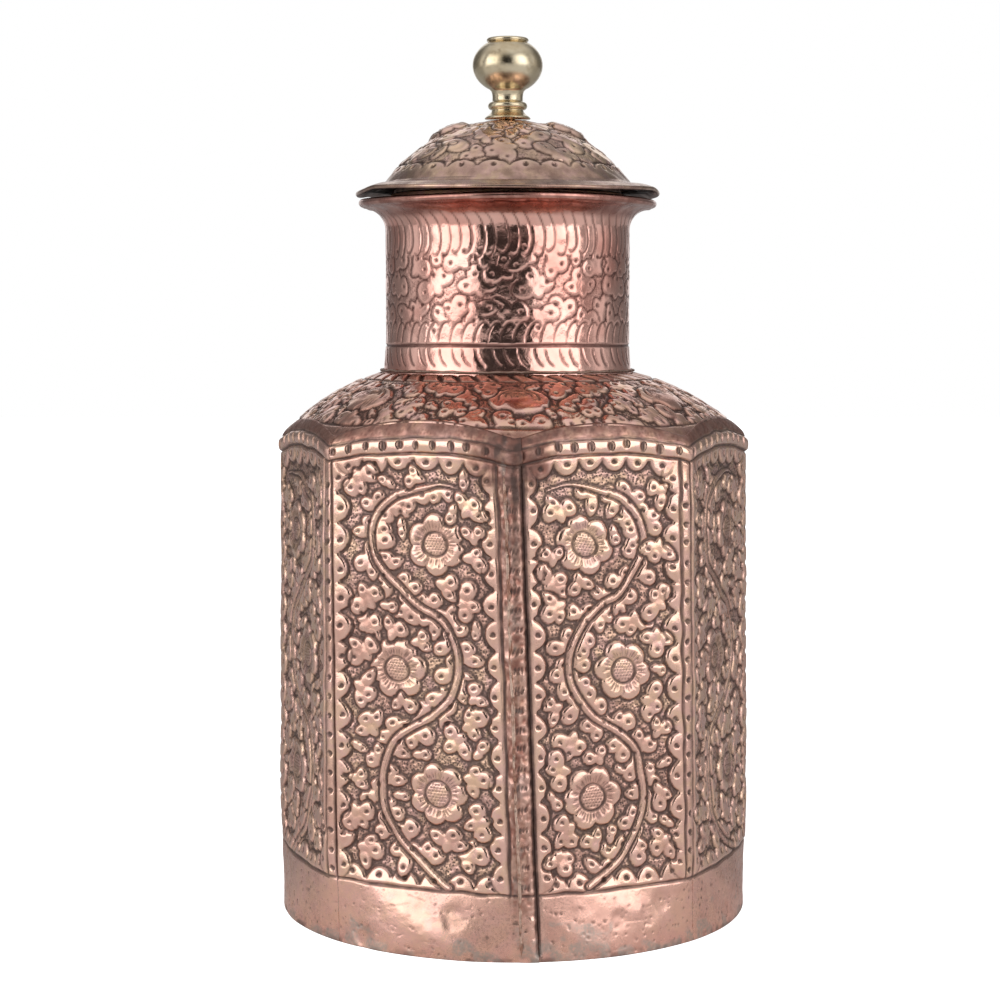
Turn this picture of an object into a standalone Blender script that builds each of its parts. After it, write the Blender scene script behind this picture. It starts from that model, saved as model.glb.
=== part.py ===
"""Eight-sided copper tea caddy with a round neck, a lift-off domed lid and a turned brass knob.

The body is one sheet of copper bent into an eight-sided tube, with a joggled, brazed lap seam down
its front corner. The tube is round at its foot, where a shallow tray is soldered in as the base. A
domed shoulder closes its top and carries the neck. The lid's collar drops into the neck, and its
knob is riveted through the dome over a washer.

Frame: origin at the middle of the foot, +Z up, the seam corner towards -Y. Units are metres.
"""

import math

import bpy

MM = 0.001

# Sheet and joints
SHEET = 0.9 * MM  # copper sheet of every raised piece
GAP = 0.3 * MM  # between neighbouring pieces, where solder or a loose fit is in life
COLLAR_PLAY = 0.4 * MM  # between the lid's collar and the neck's bore
FILLET = 1.8 * MM  # leg of a soldered fillet

# Body: the corners' bearings round the axis, counted anticlockwise from the seam, are a little uneven
CORNERS = [math.radians(a) for a in (0, 44, 90, 136, 180, 224, 270, 312)]
CORNER_RADIUS = 62.0 * MM  # axis to where the flat sides would meet, at the shoulder
CORNER_SHARPNESS = 130  # power of the norm that rounds the corners; higher is sharper
SPREAD = 0.9 * MM  # how much wider the octagon is at FACET_Z than at the shoulder
FOOT_RADIUS = 61.6 * MM  # the foot is a circle
FACET_Z = 30.0 * MM  # where the circle has become the full octagon
LAP = math.radians(6.5)  # tab of the sheet that lies behind its other end
JOGGLE = math.radians(1.2)  # length of the step that sets the tab back
TAB_DROP = 9.0 * MM  # how far below the shoulder's edge the tab is trimmed
BRAZE_RADIUS = 0.5 * MM
BRAZE_FOOT_Z = 1.5 * MM
BRAZE_TOP_Z = 120.0 * MM

# Shoulder: a dome whose section is one arc, with its edge turned down inside the body
SHOULDER_ARC = 65.4 * MM
SHOULDER_ARC_R = 15.2 * MM
SHOULDER_ARC_Z = 78.6 * MM
SHOULDER_EDGE_Z = 124.3 * MM  # at a corner
SHOULDER_INSET = SHEET + 2 * GAP  # from the wall's outer face to the edge that fits inside it
SKIRT = 4.0 * MM

# Neck, whose axis is a little to one side of the body's
NECK_X = -1.6 * MM
NECK_RADIUS = 32.1 * MM
NECK_FOOT_RADIUS = 32.8 * MM
NECK_SPREAD_Z = 150.0 * MM  # below this the neck widens to its foot
NECK_FOOT_Z = 138.0 * MM
HOLE_RADIUS = NECK_FOOT_RADIUS + SHEET  # in the shoulder, whose sheet leans in below this edge
FLARE_ARC = 5.8 * MM
FLARE_Z = 178.4 * MM
MOUTH_RADIUS = 39.1 * MM
MOUTH_Z = 186.4 * MM
HEM = 2.0 * MM  # height of the rolled edge

# Lid, measured from its seat on the mouth of the neck
LID_SEAT_Z = MOUTH_Z + GAP
LID_RADIUS = 39.9 * MM
LID_EDGE = 1.1 * MM
BRIM_RADIUS = 36.9 * MM  # where the brim turns down to its edge
BRIM_Z = 2.5 * MM
DOME_BASE_RADIUS = 32.4 * MM
DOME_BASE_Z = 4.2 * MM
DOME_ARC = 40.2 * MM
DOME_TOP_Z = 20.5 * MM
COLLAR_TOP_Z = 1.0 * MM
COLLAR_FOOT_Z = -11.5 * MM
COLLAR_LEAD_IN = 0.5 * MM

# Knob, measured from the top of the dome
KNOB_HOLE = 2.3 * MM
TANG_RADIUS = 2.0 * MM
WASHER_RADIUS = 5.0 * MM
WASHER = 0.7 * MM
WASHER_Z = -SHEET - 2 * GAP  # its upper face; the dome curves away above it
RIVET_RADIUS = 3.4 * MM
RIVET_HEIGHT = 1.2 * MM
RIVET_Z = WASHER_Z - WASHER - GAP
FOOT_FLARE = 6.8 * MM
WAIST_Z = 2.2 * MM
STEM_RADIUS = 4.1 * MM
STEM_Z = 5.7 * MM  # middle of the straight stretch between bead and ball
STEM_HALF = 0.8 * MM
BEAD_RADIUS = 5.15 * MM
BEAD_Z = 3.7 * MM
BALL_RADIUS = 9.2 * MM
BALL_HALF_HEIGHT = 7.2 * MM
BALL_Z = 14.2 * MM
BALL_CUT = math.radians(58)  # where the button and the stem cut into the ball
BUTTON_RADIUS = 5.3 * MM
BUTTON_TOP_Z = 21.4 * MM
BUTTON_EDGE = 0.6 * MM

# Base tray
BASE_RADIUS = 58.9 * MM
BASE_EDGE_Z = 4.5 * MM
BASE_ROUND = 1.6 * MM

# Fineness
TURN_STEPS = 48
KNOB_STEPS = 32
POINTS_PER_SIDE = 4  # along a side, between the points that shape its corners
CORNER_BLEND = math.radians(2.0)  # bearing from a corner to the points that shape it

COLOURS = {
    "copper": ((0.72, 0.36, 0.25), 0.36, 1.0),
    "brass": ((0.66, 0.55, 0.33), 0.22, 1.0),
    "solder": ((0.52, 0.51, 0.50), 0.45, 1.0),
}


# ---------------------------------------------------------------- scene helpers


def clear_scene():
    for obj in list(bpy.data.objects):
        bpy.data.objects.remove(obj, do_unlink=True)


def new_collection(name):
    collection = bpy.data.collections.new(name)
    bpy.context.scene.collection.children.link(collection)
    return collection


def make_materials():
    made = {}
    for name, (colour, roughness, metallic) in COLOURS.items():
        material = bpy.data.materials.new(name)
        material.use_nodes = True
        shader = material.node_tree.nodes["Principled BSDF"]
        shader.inputs["Base Color"].default_value = (*colour, 1.0)
        shader.inputs["Roughness"].default_value = roughness
        shader.inputs["Metallic"].default_value = metallic
        made[name] = material
    return made


def add_mesh(name, points, faces, edges=()):
    mesh = bpy.data.meshes.new(name)
    mesh.from_pydata(points, edges, faces)
    obj = bpy.data.objects.new(name, mesh)
    CADDY.objects.link(obj)
    return obj


def add_empty(name, location, parent=None):
    empty = bpy.data.objects.new(name, None)
    empty.location = location
    empty.parent = parent
    CADDY.objects.link(empty)
    return empty


def finish(obj, material, parent=None):
    """Gives the piece its material and hangs it on its parent empty."""
    obj.data.materials.append(MATERIALS[material])
    obj.parent = parent
    return obj


def solidify(obj):
    """Adds the sheet's thickness behind the surface, away from where its faces point."""
    modifier = obj.modifiers.new("sheet", "SOLIDIFY")
    modifier.thickness = SHEET
    modifier.offset = -1
    modifier.use_even_offset = True


# ---------------------------------------------------------------- outlines


def arc(r, z, radius, start, end, count, flatten=1.0):
    """Points on an arc about (r, z) from angle start to end, squashed in z by flatten."""
    steps = (start + (end - start) * i / (count - 1) for i in range(count))
    return [
        (r + radius * math.cos(a), z + radius * flatten * math.sin(a)) for a in steps
    ]


def turned(name, profile, closed=False, steps=TURN_STEPS):
    """A profile of (radius, z) points, running down its outer side, turned about Z."""
    points = [(r, 0, z) for r, z in profile]
    edges = [(i, i + 1) for i in range(len(points) - 1)]
    if closed:
        edges.append((len(points) - 1, 0))
    obj = add_mesh(name, points, [], edges)
    screw = obj.modifiers.new("turn", "SCREW")
    screw.axis = "Z"
    screw.angle = 2 * math.pi
    screw.steps = steps
    screw.render_steps = steps
    screw.use_merge_vertices = True
    screw.merge_threshold = 0.01 * MM
    screw.use_smooth_shade = True
    return obj


def octagon_radius(bearing, inset=0.0):
    """Distance from the axis to the rounded octagon, at a bearing counted from the seam."""
    total = 0.0
    for i, start in enumerate(CORNERS):
        end = CORNERS[i + 1] if i + 1 < len(CORNERS) else 2 * math.pi
        flat = CORNER_RADIUS * math.cos((end - start) / 2) - inset
        facing = math.cos(bearing - (start + end) / 2)
        if facing > 0:
            total += (facing / flat) ** CORNER_SHARPNESS
    return total ** (-1 / CORNER_SHARPNESS)


def wall_radius(bearing, z, inset=0.0):
    """Radius of the body's outer face: a circle at the foot and the octagon from FACET_Z up."""
    t = min(max(z / FACET_Z, 0.0), 1.0)
    blend = t * t * (3 - 2 * t)
    spread = SPREAD * min((SHOULDER_EDGE_Z - z) / (SHOULDER_EDGE_Z - FACET_Z), 1.0)
    foot = FOOT_RADIUS - inset
    return foot * (1 - blend) + octagon_radius(bearing, inset - spread) * blend


def around(radius, bearing, x=0.0):
    """(x, y) at a radius and a bearing from the seam, which faces -Y."""
    return x + radius * math.sin(bearing), -radius * math.cos(bearing)


def shoulder_z(radius):
    """Height of the shoulder's outer face at a distance from the axis."""
    return SHOULDER_ARC_Z + math.sqrt(
        SHOULDER_ARC**2 - (radius - SHOULDER_ARC_R) ** 2
    )


def side_bearings():
    """Bearings of the corners, of the points that shape each, and of points along the sides."""
    bearings = []
    for i, start in enumerate(CORNERS):
        end = CORNERS[i + 1] if i + 1 < len(CORNERS) else 2 * math.pi
        first, last = start + CORNER_BLEND, end - CORNER_BLEND
        bearings.append(start)
        bearings += [
            first + (last - first) * j / (POINTS_PER_SIDE - 1)
            for j in range(POINTS_PER_SIDE)
        ]
    return bearings


def grid_faces(rows, columns, closed_columns, closed_rows=False):
    """Quads over rows of points; each way round can close on itself."""
    faces = []
    for row in range(rows if closed_rows else rows - 1):
        for column in range(columns if closed_columns else columns - 1):
            above = (row + 1) % rows
            beside = (column + 1) % columns
            faces.append(
                (
                    row * columns + column,
                    row * columns + beside,
                    above * columns + beside,
                    above * columns + column,
                )
            )
    return faces


# ---------------------------------------------------------------- body


def body_wall():
    """One sheet from the tab behind the seam, round the eight sides, to the edge over the tab."""
    set_back = SHEET + GAP
    half_gap = GAP / FOOT_RADIUS / 2
    columns = [(-LAP, set_back), (-LAP / 2, set_back), (-JOGGLE, set_back)]
    columns += [(half_gap, 0.0)]
    columns += [(bearing, 0.0) for bearing in side_bearings()[1:]]
    columns += [(2 * math.pi - 2 * half_gap, 0.0)]
    levels = [FACET_Z * i / 4 for i in range(5)]
    points = []
    for z in levels:
        for bearing, inset in columns:
            points.append((*around(wall_radius(bearing, z, inset), bearing), z))
    for bearing, inset in columns:
        radius = octagon_radius(bearing, inset)
        drop = TAB_DROP if inset else 0.0
        points.append((*around(radius, bearing), shoulder_z(radius + inset) - drop))
    faces = grid_faces(len(levels) + 1, len(columns), closed_columns=False)
    wall = add_mesh("body_wall", points, faces)
    solidify(wall)
    return finish(wall, "copper")


def seam_braze():
    """The bead of spelter that fills the seam, on the outside of the front corner."""
    middle_z = (FACET_Z + BRAZE_TOP_Z) / 2
    heights = [BRAZE_FOOT_Z, FACET_Z / 2, FACET_Z, middle_z, BRAZE_TOP_Z]
    curve = bpy.data.curves.new("seam_braze", "CURVE")
    curve.dimensions = "3D"
    curve.bevel_depth = BRAZE_RADIUS
    curve.bevel_resolution = 2
    curve.use_fill_caps = True
    spline = curve.splines.new("POLY")
    spline.points.add(len(heights) - 1)
    for point, z in zip(spline.points, heights):
        point.co = (*around(wall_radius(0.0, z) + BRAZE_RADIUS + GAP, 0.0), z, 1)
    obj = bpy.data.objects.new("seam_braze", curve)
    CADDY.objects.link(obj)
    return finish(obj, "brass")


def base_plate():
    """A shallow tray, its underside level with the foot and its edge turned up inside the wall."""
    corner = (BASE_RADIUS - BASE_ROUND, BASE_ROUND, BASE_ROUND)
    profile = [(BASE_RADIUS, BASE_EDGE_Z), *arc(*corner, 0, -math.pi / 2, 5), (0, 0)]
    plate = turned("base_plate", profile)
    solidify(plate)
    return finish(plate, "copper")


def base_solder():
    """Fillet of soft solder on top of the tray's edge, in its corner with the wall."""
    foot = BASE_EDGE_Z + GAP
    profile = [
        (BASE_RADIUS, foot + FILLET),
        (BASE_RADIUS, foot),
        (BASE_RADIUS - FILLET, foot),
    ]
    return finish(turned("base_solder", profile, closed=True), "solder")


# ---------------------------------------------------------------- shoulder and neck


def shoulder():
    """A dome from the neck's hole out to the octagon, with its edge turned down inside the wall."""
    bearings = side_bearings()
    ways = [i / 5 for i in range(6)]
    points = []
    for way in ways:
        for bearing in bearings:
            edge = octagon_radius(bearing, SHOULDER_INSET)
            radius = HOLE_RADIUS * (1 - way) + edge * way
            x, y = around(radius, bearing, NECK_X * (1 - way))
            points.append((x, y, shoulder_z(radius)))
    for x, y, z in points[-len(bearings) :]:
        points.append((x, y, z - SKIRT))
    faces = grid_faces(len(ways) + 1, len(bearings), closed_columns=True)
    dome = add_mesh("shoulder", points, [face[::-1] for face in faces])
    solidify(dome)
    return finish(dome, "copper")


def shoulder_solder():
    """Fillet of soft solder under the turned-down edge, in its corner with the wall."""
    bearings = side_bearings()
    near, far = SHOULDER_INSET, SHOULDER_INSET + FILLET
    rows = [(near, 0.0), (near, -FILLET), (far, 0.0)]
    points = []
    for inset, z in rows:
        for bearing in bearings:
            edge = octagon_radius(bearing, near)
            top = shoulder_z(edge) - SKIRT - GAP
            radius = octagon_radius(bearing, inset)
            points.append((*around(radius, bearing), top + z))
    faces = grid_faces(
        len(rows), len(bearings), closed_columns=True, closed_rows=True
    )
    ring = add_mesh("shoulder_solder", points, [face[::-1] for face in faces])
    return finish(ring, "solder")


def neck(axis):
    """A tube with a flared mouth, whose edge is rolled into a hem."""
    flare_r = NECK_RADIUS + FLARE_ARC
    hem = HEM / 2
    up, level = math.pi / 2, math.pi
    profile = arc(MOUTH_RADIUS - hem, MOUTH_Z - hem, hem, up, -up, 6)
    profile += arc(flare_r, FLARE_Z, FLARE_ARC, up, level, 6)
    profile += [(NECK_RADIUS, NECK_SPREAD_Z), (NECK_FOOT_RADIUS, NECK_FOOT_Z)]
    profile += [(NECK_FOOT_RADIUS - SHEET, NECK_FOOT_Z)]
    profile += [(NECK_RADIUS - SHEET, NECK_SPREAD_Z)]
    profile += arc(flare_r, FLARE_Z, FLARE_ARC + SHEET, level, up, 6)
    return finish(turned("neck", profile, closed=True), "copper", axis)


def neck_solder(axis):
    """The line of soft solder on top of the shoulder, round the foot of the neck."""
    near, far = NECK_FOOT_RADIUS + GAP, HOLE_RADIUS + GAP
    foot = shoulder_z(HOLE_RADIUS) + GAP
    profile = [(near, foot + far - near), (far, foot), (near, foot)]
    return finish(turned("neck_solder", profile, closed=True), "solder", axis)


# ---------------------------------------------------------------- lid


def dome_arc(thickness, start_radius, end_radius, count):
    """Points on the dome's face, or on its inner face, from one radius to another."""
    radius = DOME_ARC - thickness
    first, last = math.acos(start_radius / radius), math.acos(end_radius / radius)
    return arc(0, DOME_TOP_Z - DOME_ARC, radius, first, last, count)


def lid_dome(seat):
    """A dome on a nearly flat brim with a rounded edge, and a hole for the knob's tang."""
    edge = LID_EDGE / 2
    up = math.pi / 2
    root_r, root_z = DOME_BASE_RADIUS + 1.0 * MM, (DOME_BASE_Z + BRIM_Z) / 2
    profile = dome_arc(0, KNOB_HOLE, DOME_BASE_RADIUS, 9)
    profile += [(root_r, root_z), (BRIM_RADIUS, BRIM_Z)]
    profile += arc(LID_RADIUS - edge, edge, edge, up, -up, 5)
    profile += [(BRIM_RADIUS, BRIM_Z - SHEET), (root_r, root_z - SHEET)]
    profile += dome_arc(SHEET, DOME_BASE_RADIUS - SHEET, KNOB_HOLE, 9)
    return finish(turned("lid_dome", profile, closed=True), "copper", seat)


def lid_collar(seat):
    """The ring under the lid that drops into the neck and keeps the lid centred."""
    outer = NECK_RADIUS - SHEET - COLLAR_PLAY
    inner = outer - SHEET
    profile = [
        (outer, COLLAR_TOP_Z),
        (outer, COLLAR_FOOT_Z + 2 * COLLAR_LEAD_IN),
        (outer - COLLAR_LEAD_IN, COLLAR_FOOT_Z),
        (inner - COLLAR_LEAD_IN, COLLAR_FOOT_Z),
        (inner, COLLAR_FOOT_Z + 2 * COLLAR_LEAD_IN),
        (inner, COLLAR_TOP_Z),
    ]
    return finish(turned("lid_collar", profile, closed=True), "copper", seat)


def collar_solder(seat):
    """Fillet of soft solder on top of the collar, in its corner with the dome."""
    inner = NECK_RADIUS - 2 * SHEET - COLLAR_PLAY
    foot = COLLAR_TOP_Z + GAP
    profile = [(inner, foot + FILLET / 2), (inner, foot), (inner - FILLET, foot)]
    return finish(turned("collar_solder", profile, closed=True), "solder", seat)


# ---------------------------------------------------------------- knob


def knob(seat):
    """A turned brass ball on a waisted stem, with a tang riveted over inside the lid."""
    up = math.pi / 2
    button_r, button_z = BUTTON_RADIUS - BUTTON_EDGE, BUTTON_TOP_Z - BUTTON_EDGE
    flatten = BALL_HALF_HEIGHT / BALL_RADIUS
    bead = BEAD_RADIUS - STEM_RADIUS
    profile = [(0, BUTTON_TOP_Z)]
    profile += arc(button_r, button_z, BUTTON_EDGE, up, -up, 4)
    profile += arc(0, BALL_Z, BALL_RADIUS, BALL_CUT, -BALL_CUT, 11, flatten)
    profile += [(STEM_RADIUS, STEM_Z + STEM_HALF), (STEM_RADIUS, STEM_Z - STEM_HALF)]
    profile += arc(STEM_RADIUS, BEAD_Z, bead, math.pi / 3, -math.pi / 3, 4)
    profile += [(STEM_RADIUS, WAIST_Z), ((STEM_RADIUS + FOOT_FLARE) / 2, WAIST_Z / 2)]
    profile += [(FOOT_FLARE, GAP), (TANG_RADIUS, GAP), (TANG_RADIUS, RIVET_Z)]
    profile += [(RIVET_RADIUS, RIVET_Z), (RIVET_RADIUS * 0.75, RIVET_Z - RIVET_HEIGHT * 0.8)]
    profile += [(0, RIVET_Z - RIVET_HEIGHT)]
    return finish(turned("knob", profile, steps=KNOB_STEPS), "brass", seat)


def knob_washer(seat):
    """The flat washer that spreads the rivet's pull on the inside of the dome."""
    foot = WASHER_Z - WASHER
    profile = [
        (WASHER_RADIUS, WASHER_Z),
        (WASHER_RADIUS, foot),
        (KNOB_HOLE, foot),
        (KNOB_HOLE, WASHER_Z),
    ]
    washer = turned("knob_washer", profile, closed=True, steps=KNOB_STEPS)
    return finish(washer, "copper", seat)


# ---------------------------------------------------------------- assembly


def build():
    body_wall()
    seam_braze()
    base_plate()
    base_solder()
    shoulder()
    shoulder_solder()
    neck_axis = add_empty("neck_axis", (NECK_X, 0, 0))
    neck(neck_axis)
    neck_solder(neck_axis)
    lid_seat = add_empty("lid_seat", (0, 0, LID_SEAT_Z), neck_axis)
    lid_dome(lid_seat)
    lid_collar(lid_seat)
    collar_solder(lid_seat)
    knob_seat = add_empty("knob_seat", (0, 0, DOME_TOP_Z), lid_seat)
    knob(knob_seat)
    knob_washer(knob_seat)


clear_scene()
CADDY = new_collection("tea_caddy")
MATERIALS = make_materials()
build()
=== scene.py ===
"""The looks of the copper tea caddy: chased sheets, solder, brass, light and camera.

Each chased sheet is drawn flat as a height field in millimetres, then wrapped over the shape that
the CAD part has, and closed with its inner face, so that the ornament is real geometry.
"""

from math import acos, atan2, cos, degrees, hypot, pi, radians, sin

import bpy
import numpy as np
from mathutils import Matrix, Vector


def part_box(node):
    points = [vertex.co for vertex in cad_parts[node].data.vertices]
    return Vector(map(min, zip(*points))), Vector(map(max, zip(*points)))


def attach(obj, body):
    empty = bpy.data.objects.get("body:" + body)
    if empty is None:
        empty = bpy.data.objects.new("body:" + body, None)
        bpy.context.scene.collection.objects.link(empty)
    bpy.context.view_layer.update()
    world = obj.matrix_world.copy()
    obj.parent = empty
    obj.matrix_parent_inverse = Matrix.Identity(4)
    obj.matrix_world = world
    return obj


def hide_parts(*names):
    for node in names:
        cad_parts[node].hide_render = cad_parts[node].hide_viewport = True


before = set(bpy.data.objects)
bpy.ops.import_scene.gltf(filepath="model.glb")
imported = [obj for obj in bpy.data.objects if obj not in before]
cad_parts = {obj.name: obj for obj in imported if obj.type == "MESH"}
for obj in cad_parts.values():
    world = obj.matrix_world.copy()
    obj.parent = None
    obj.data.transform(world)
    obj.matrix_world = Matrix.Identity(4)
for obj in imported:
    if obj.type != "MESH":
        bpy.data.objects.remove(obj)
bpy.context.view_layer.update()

MM = 0.001
TAU = 2 * pi

# Shape of the part, in millimetres
SHEET = 0.9
CORNERS = [radians(a) for a in (0, 44, 90, 136, 180, 224, 270, 312, 360)]
CORNER_RADIUS = 62.0
CORNER_SHARPNESS = 130
SPREAD = 0.9
FOOT_RADIUS = 61.6
FACET_Z = 30.0
SHOULDER_ARC, SHOULDER_ARC_R, SHOULDER_ARC_Z = 65.4, 15.2, 78.6
SHOULDER_EDGE_Z = 124.3
SHOULDER_INSET = 1.5
SKIRT = 4.0
NECK_RADIUS, NECK_FOOT_RADIUS = 32.1, 32.8
NECK_SPREAD_Z, NECK_FOOT_Z = 150.0, 138.0
HOLE_RADIUS = 33.7
FLARE_ARC, FLARE_Z = 5.8, 178.4
MOUTH_RADIUS, MOUTH_Z, HEM = 39.1, 186.4, 2.0
LID_RADIUS, LID_EDGE, BRIM_RADIUS, BRIM_Z = 39.9, 1.1, 36.9, 2.5
DOME_BASE_RADIUS, DOME_BASE_Z, DOME_ARC, DOME_TOP_Z = 32.4, 4.2, 40.2, 20.5
KNOB_HOLE = 2.3

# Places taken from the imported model
neck_low, neck_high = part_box("neck")
NECK_X = (neck_low.x + neck_high.x) / 2 / MM
LID_SEAT_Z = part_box("lid_dome")[0].z / MM

# Ornament, in millimetres
CELL = 0.22  # of the flat drawings
NOWHERE = 9.0  # a distance where nothing is drawn
GAP = 0.35  # cut between two shapes that meet
CROWN_RUN = 0.7  # how far in from its edge a raised shape is round
FULL_DEPTH = 0.42  # a hollow this deep is as dark as any: patina with painted shade
PUNCH = (0.64, 0.48)  # radius and depth of a mark in a border
LINE_Z = 16.3  # engraved line above the plain foot band
ARCH_Z, ARCH_RISE, ARCH_BAND = 124.0, 2.7, 3.8
BORDER_TOP = ARCH_Z - ARCH_BAND
CORNER_LINE = 1.75  # from a corner to the line beside it
SEAM_EDGE = 2.9  # from the front corner to the free edge of the lap
SEAM_LINE = 3.6
SEAM_SIDES = FIRST, LAST = 0, 7  # the sides that meet at the seam
SEAM_LEAN, CORNER_LEAN, LEAN_Z = 2.3, 1.1, 62.0  # how far the lines up the corners lean
STEP = 6  # points of an outer face to one of the inner face
LINING_MASK = 0.4  # every mask on an inner face

# The camera, fitted to the curves of the foot, the band line and the brim
CAMERA_AT, CAMERA_TILT = (-3.6, -580, 154.0), 4.602
LENS, SENSOR = 78.75, 36.0


# ---- the flat drawing


def smooth(low, high, value):
    t = np.clip((value - low) / (high - low), 0, 1)
    return t * t * (3 - 2 * t)


def dice(seed):
    return np.random.default_rng(seed)


def between(table, y, x, ease=lambda t: t):
    """A table's values between its points; its columns run right round."""
    iy, ix = np.floor(y).astype(int), np.floor(x).astype(int)
    ty, tx = ease(y - iy), ease(x - ix)
    left, right = ix % table.shape[1], (ix + 1) % table.shape[1]
    low, high = (table[j, left] * (1 - tx) + table[j, right] * tx for j in (iy, iy + 1))
    return low * (1 - ty) + high * ty


class Sheet:
    """A chased sheet drawn flat, in millimetres: x runs round the pot and y up or outward."""

    def __init__(self, width, height, start=(0.0, 0.0), wrap=False, ratio=None):
        self.nx, self.ny = int(round(width / CELL)), int(round(height / CELL))
        self.width, self.step = width, width / self.nx
        self.x = start[0] + np.arange(self.nx) * self.step
        self.y = start[1] + np.arange(self.ny) * CELL
        self.wrap = wrap
        self.ratio = ratio(self.y) if ratio else np.ones(self.ny)
        size = (self.ny, self.nx)
        self.form, self.field = np.full(size, -NOWHERE), np.ones(size)
        self.low, self.high = np.zeros(size), np.zeros(size)

    def near(self, cx, cy, reach):
        """The windows of the drawing round a point, with distances from it."""
        rows = slice(*np.searchsorted(self.y, (cy - reach, cy + reach)))
        if rows.stop <= rows.start:
            return
        ratio = self.ratio[rows]
        wide = reach / ratio.min()
        for turn in (-self.width, 0, self.width) if self.wrap else (0,):
            ends = (cx + turn - wide, cx + turn + wide)
            cols = slice(*np.searchsorted(self.x, ends))
            if cols.stop > cols.start:
                dx = (self.x[cols] - cx - turn)[None] * ratio[:, None]
                dy = (self.y[rows] - cy)[:, None] + 0 * dx
                yield (rows, cols), dx, dy

    def shape(self, cx, cy, reach, distance, join=False):
        """Adds a raised shape, given as a signed distance, over the shapes that are there."""
        for window, dx, dy in self.near(cx, cy, reach):
            new, old = distance(dx, dy), self.form[window]
            if not join:
                old = np.minimum(old, -new - GAP)
            self.form[window] = np.maximum(new, old)

    def dot(self, cx, cy, radius, depth, stretch=(1.0, 1.0)):
        for window, dx, dy in self.near(cx, cy, 2.2 * radius * max(stretch)):
            q = ((dx / stretch[0]) ** 2 + (dy / stretch[1]) ** 2) / radius**2
            self.low[window] = np.minimum(self.low[window], -depth * np.exp(-q * q))

    def boss(self, cx, cy, radius, height):
        for window, dx, dy in self.near(cx, cy, 1.6 * radius):
            q = (dx**2 + dy**2) / radius**2
            self.high[window] += height * np.exp(-q * q)

    def segments(self, points, reach):
        """Each piece of a path: its window, distance from it, and how far along the path."""
        points = np.asarray(points, float)
        for i, (a, b) in enumerate(zip(points, points[1:])):
            wide, vy = b - a
            for window, dx, dy in self.near(*(a + b) / 2, hypot(wide, vy) / 2 + reach):
                vx = wide * self.ratio[window[0]][:, None]
                dx, dy = dx + vx / 2, dy + vy / 2
                way = np.clip((dx * vx + dy * vy) / (vx**2 + vy**2 + 1e-9), 0, 1)
                yield window, np.hypot(dx - way * vx, dy - way * vy), (i + way) / (len(points) - 1)

    def cut(self, points, width, depth, taper=0.0):
        """An engraved stroke; taper thins both its ends."""
        for window, off, way in self.segments(points, 2.6 * width):
            fade = 1 - taper * np.abs(2 * way - 1) ** 3
            groove = -depth * fade * np.exp(-((off / (width * fade)) ** 2))
            self.low[window] = np.minimum(self.low[window], groove)

    def rib(self, points, half):
        """A raised band along a path, thinner at its end."""
        band = np.full(self.form.shape, -NOWHERE)
        for window, off, way in self.segments(points, 4.0 + half):
            thin = half * (1 - 0.75 * smooth(0.86, 1.0, way))
            band[window] = np.maximum(band[window], thin - off)
        self.form = np.maximum(band, np.minimum(self.form, -band - GAP))

    def punches(self, pitch, seed):
        """Distance to the nearest of a close field of scattered punch marks."""
        nx, ny = max(2, round(self.width / pitch)), int(self.ny * CELL / pitch) + 4
        jitter = dice(seed).uniform(-0.34, 0.34, (2, ny, nx))
        gx, gy = (self.x - self.x[0]) / self.width * nx, (self.y - self.y[0]) / pitch + 1
        ix, iy = np.floor(gx).astype(int), np.floor(gy).astype(int)
        best = np.full(self.form.shape, NOWHERE)
        for dj in (-1, 0, 1):
            row = np.clip(iy + dj, 0, ny - 1)
            for di in (-1, 0, 1):
                jx, jy = jitter[:, row[:, None], ((ix + di) % nx)[None]]
                px = (ix + di + 0.5)[None] + jx + 0.25 * ((row % 2)[:, None] * 2 - 1)
                py = (iy + dj + 0.5)[:, None] + jy
                best = np.minimum(best, np.hypot(gx[None] - px, gy[:, None] - py))
        return best * pitch

    def noise(self, cell, seed):
        """Smooth noise over the drawing, of a given grain."""
        nx, ny = max(2, round(self.width / cell)), int(self.ny * CELL / cell) + 3
        table = dice(seed).uniform(-1, 1, (ny, nx))
        x, y = np.arange(self.nx) / self.nx * nx, np.arange(self.ny) * CELL / cell
        return between(table, y[:, None], x[None], lambda t: smooth(0, 1, t))

    def blur(self, layer, radius):
        cells = max(1, int(round(radius / CELL)))
        size = 2 * cells + 1
        for mode in ("edge", "wrap" if self.wrap else "edge") * 2:
            total = np.cumsum(np.pad(layer, [(cells + 1, cells), (0, 0)], mode=mode), axis=0)
            layer = ((total[size:] - total[:-size]) / size).T
        return layer

    def emboss(self, ground, crown, pitch, matting, seed, groove_dirt_and_shade, outline=0.14):
        """Turns the drawing into heights and into the masks that the materials read."""
        inside = np.maximum(smooth(-0.15, 0.4, self.form), 1 - self.field)
        lift = crown * (1 - np.exp(-np.clip(self.form, 0, None) / CROWN_RUN)) * self.field
        rim = outline * np.exp(-(((self.form + 0.25) / 0.24) ** 2)) * self.field
        marks = np.exp(-((self.punches(pitch, seed) / (0.36 * pitch)) ** 2))
        marks = marks * matting * (1 - inside)
        height = inside * lift - ground * (1 - inside) - rim - marks + self.low + self.high
        self.height = height = height + 0.03 * self.noise(1.6, seed + 1)
        wide = self.blur(height, 0.9)
        # darker in recesses and cut lines: patina and dirt that lie there, with painted shade
        self.hollow = np.clip((wide - height + groove_dirt_and_shade * (rim - self.low)) / FULL_DEPTH, 0, 1)
        # lighter on raised parts: rubbed bright by wear, with a painted highlight
        self.worn_and_highlit = np.clip((height - wide) / 0.2, 0, 1)
        self.ground = 1 - inside
        self.back = self.blur(height, 1.2)

    def lobe(self, x, y, wide, tall, lean=0.0):
        """A rounded lobe of a border."""
        self.shape(x, y, 8, lambda dx, dy: egg(dx, dy, wide, tall, lean, 0.0), join=True)

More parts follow.
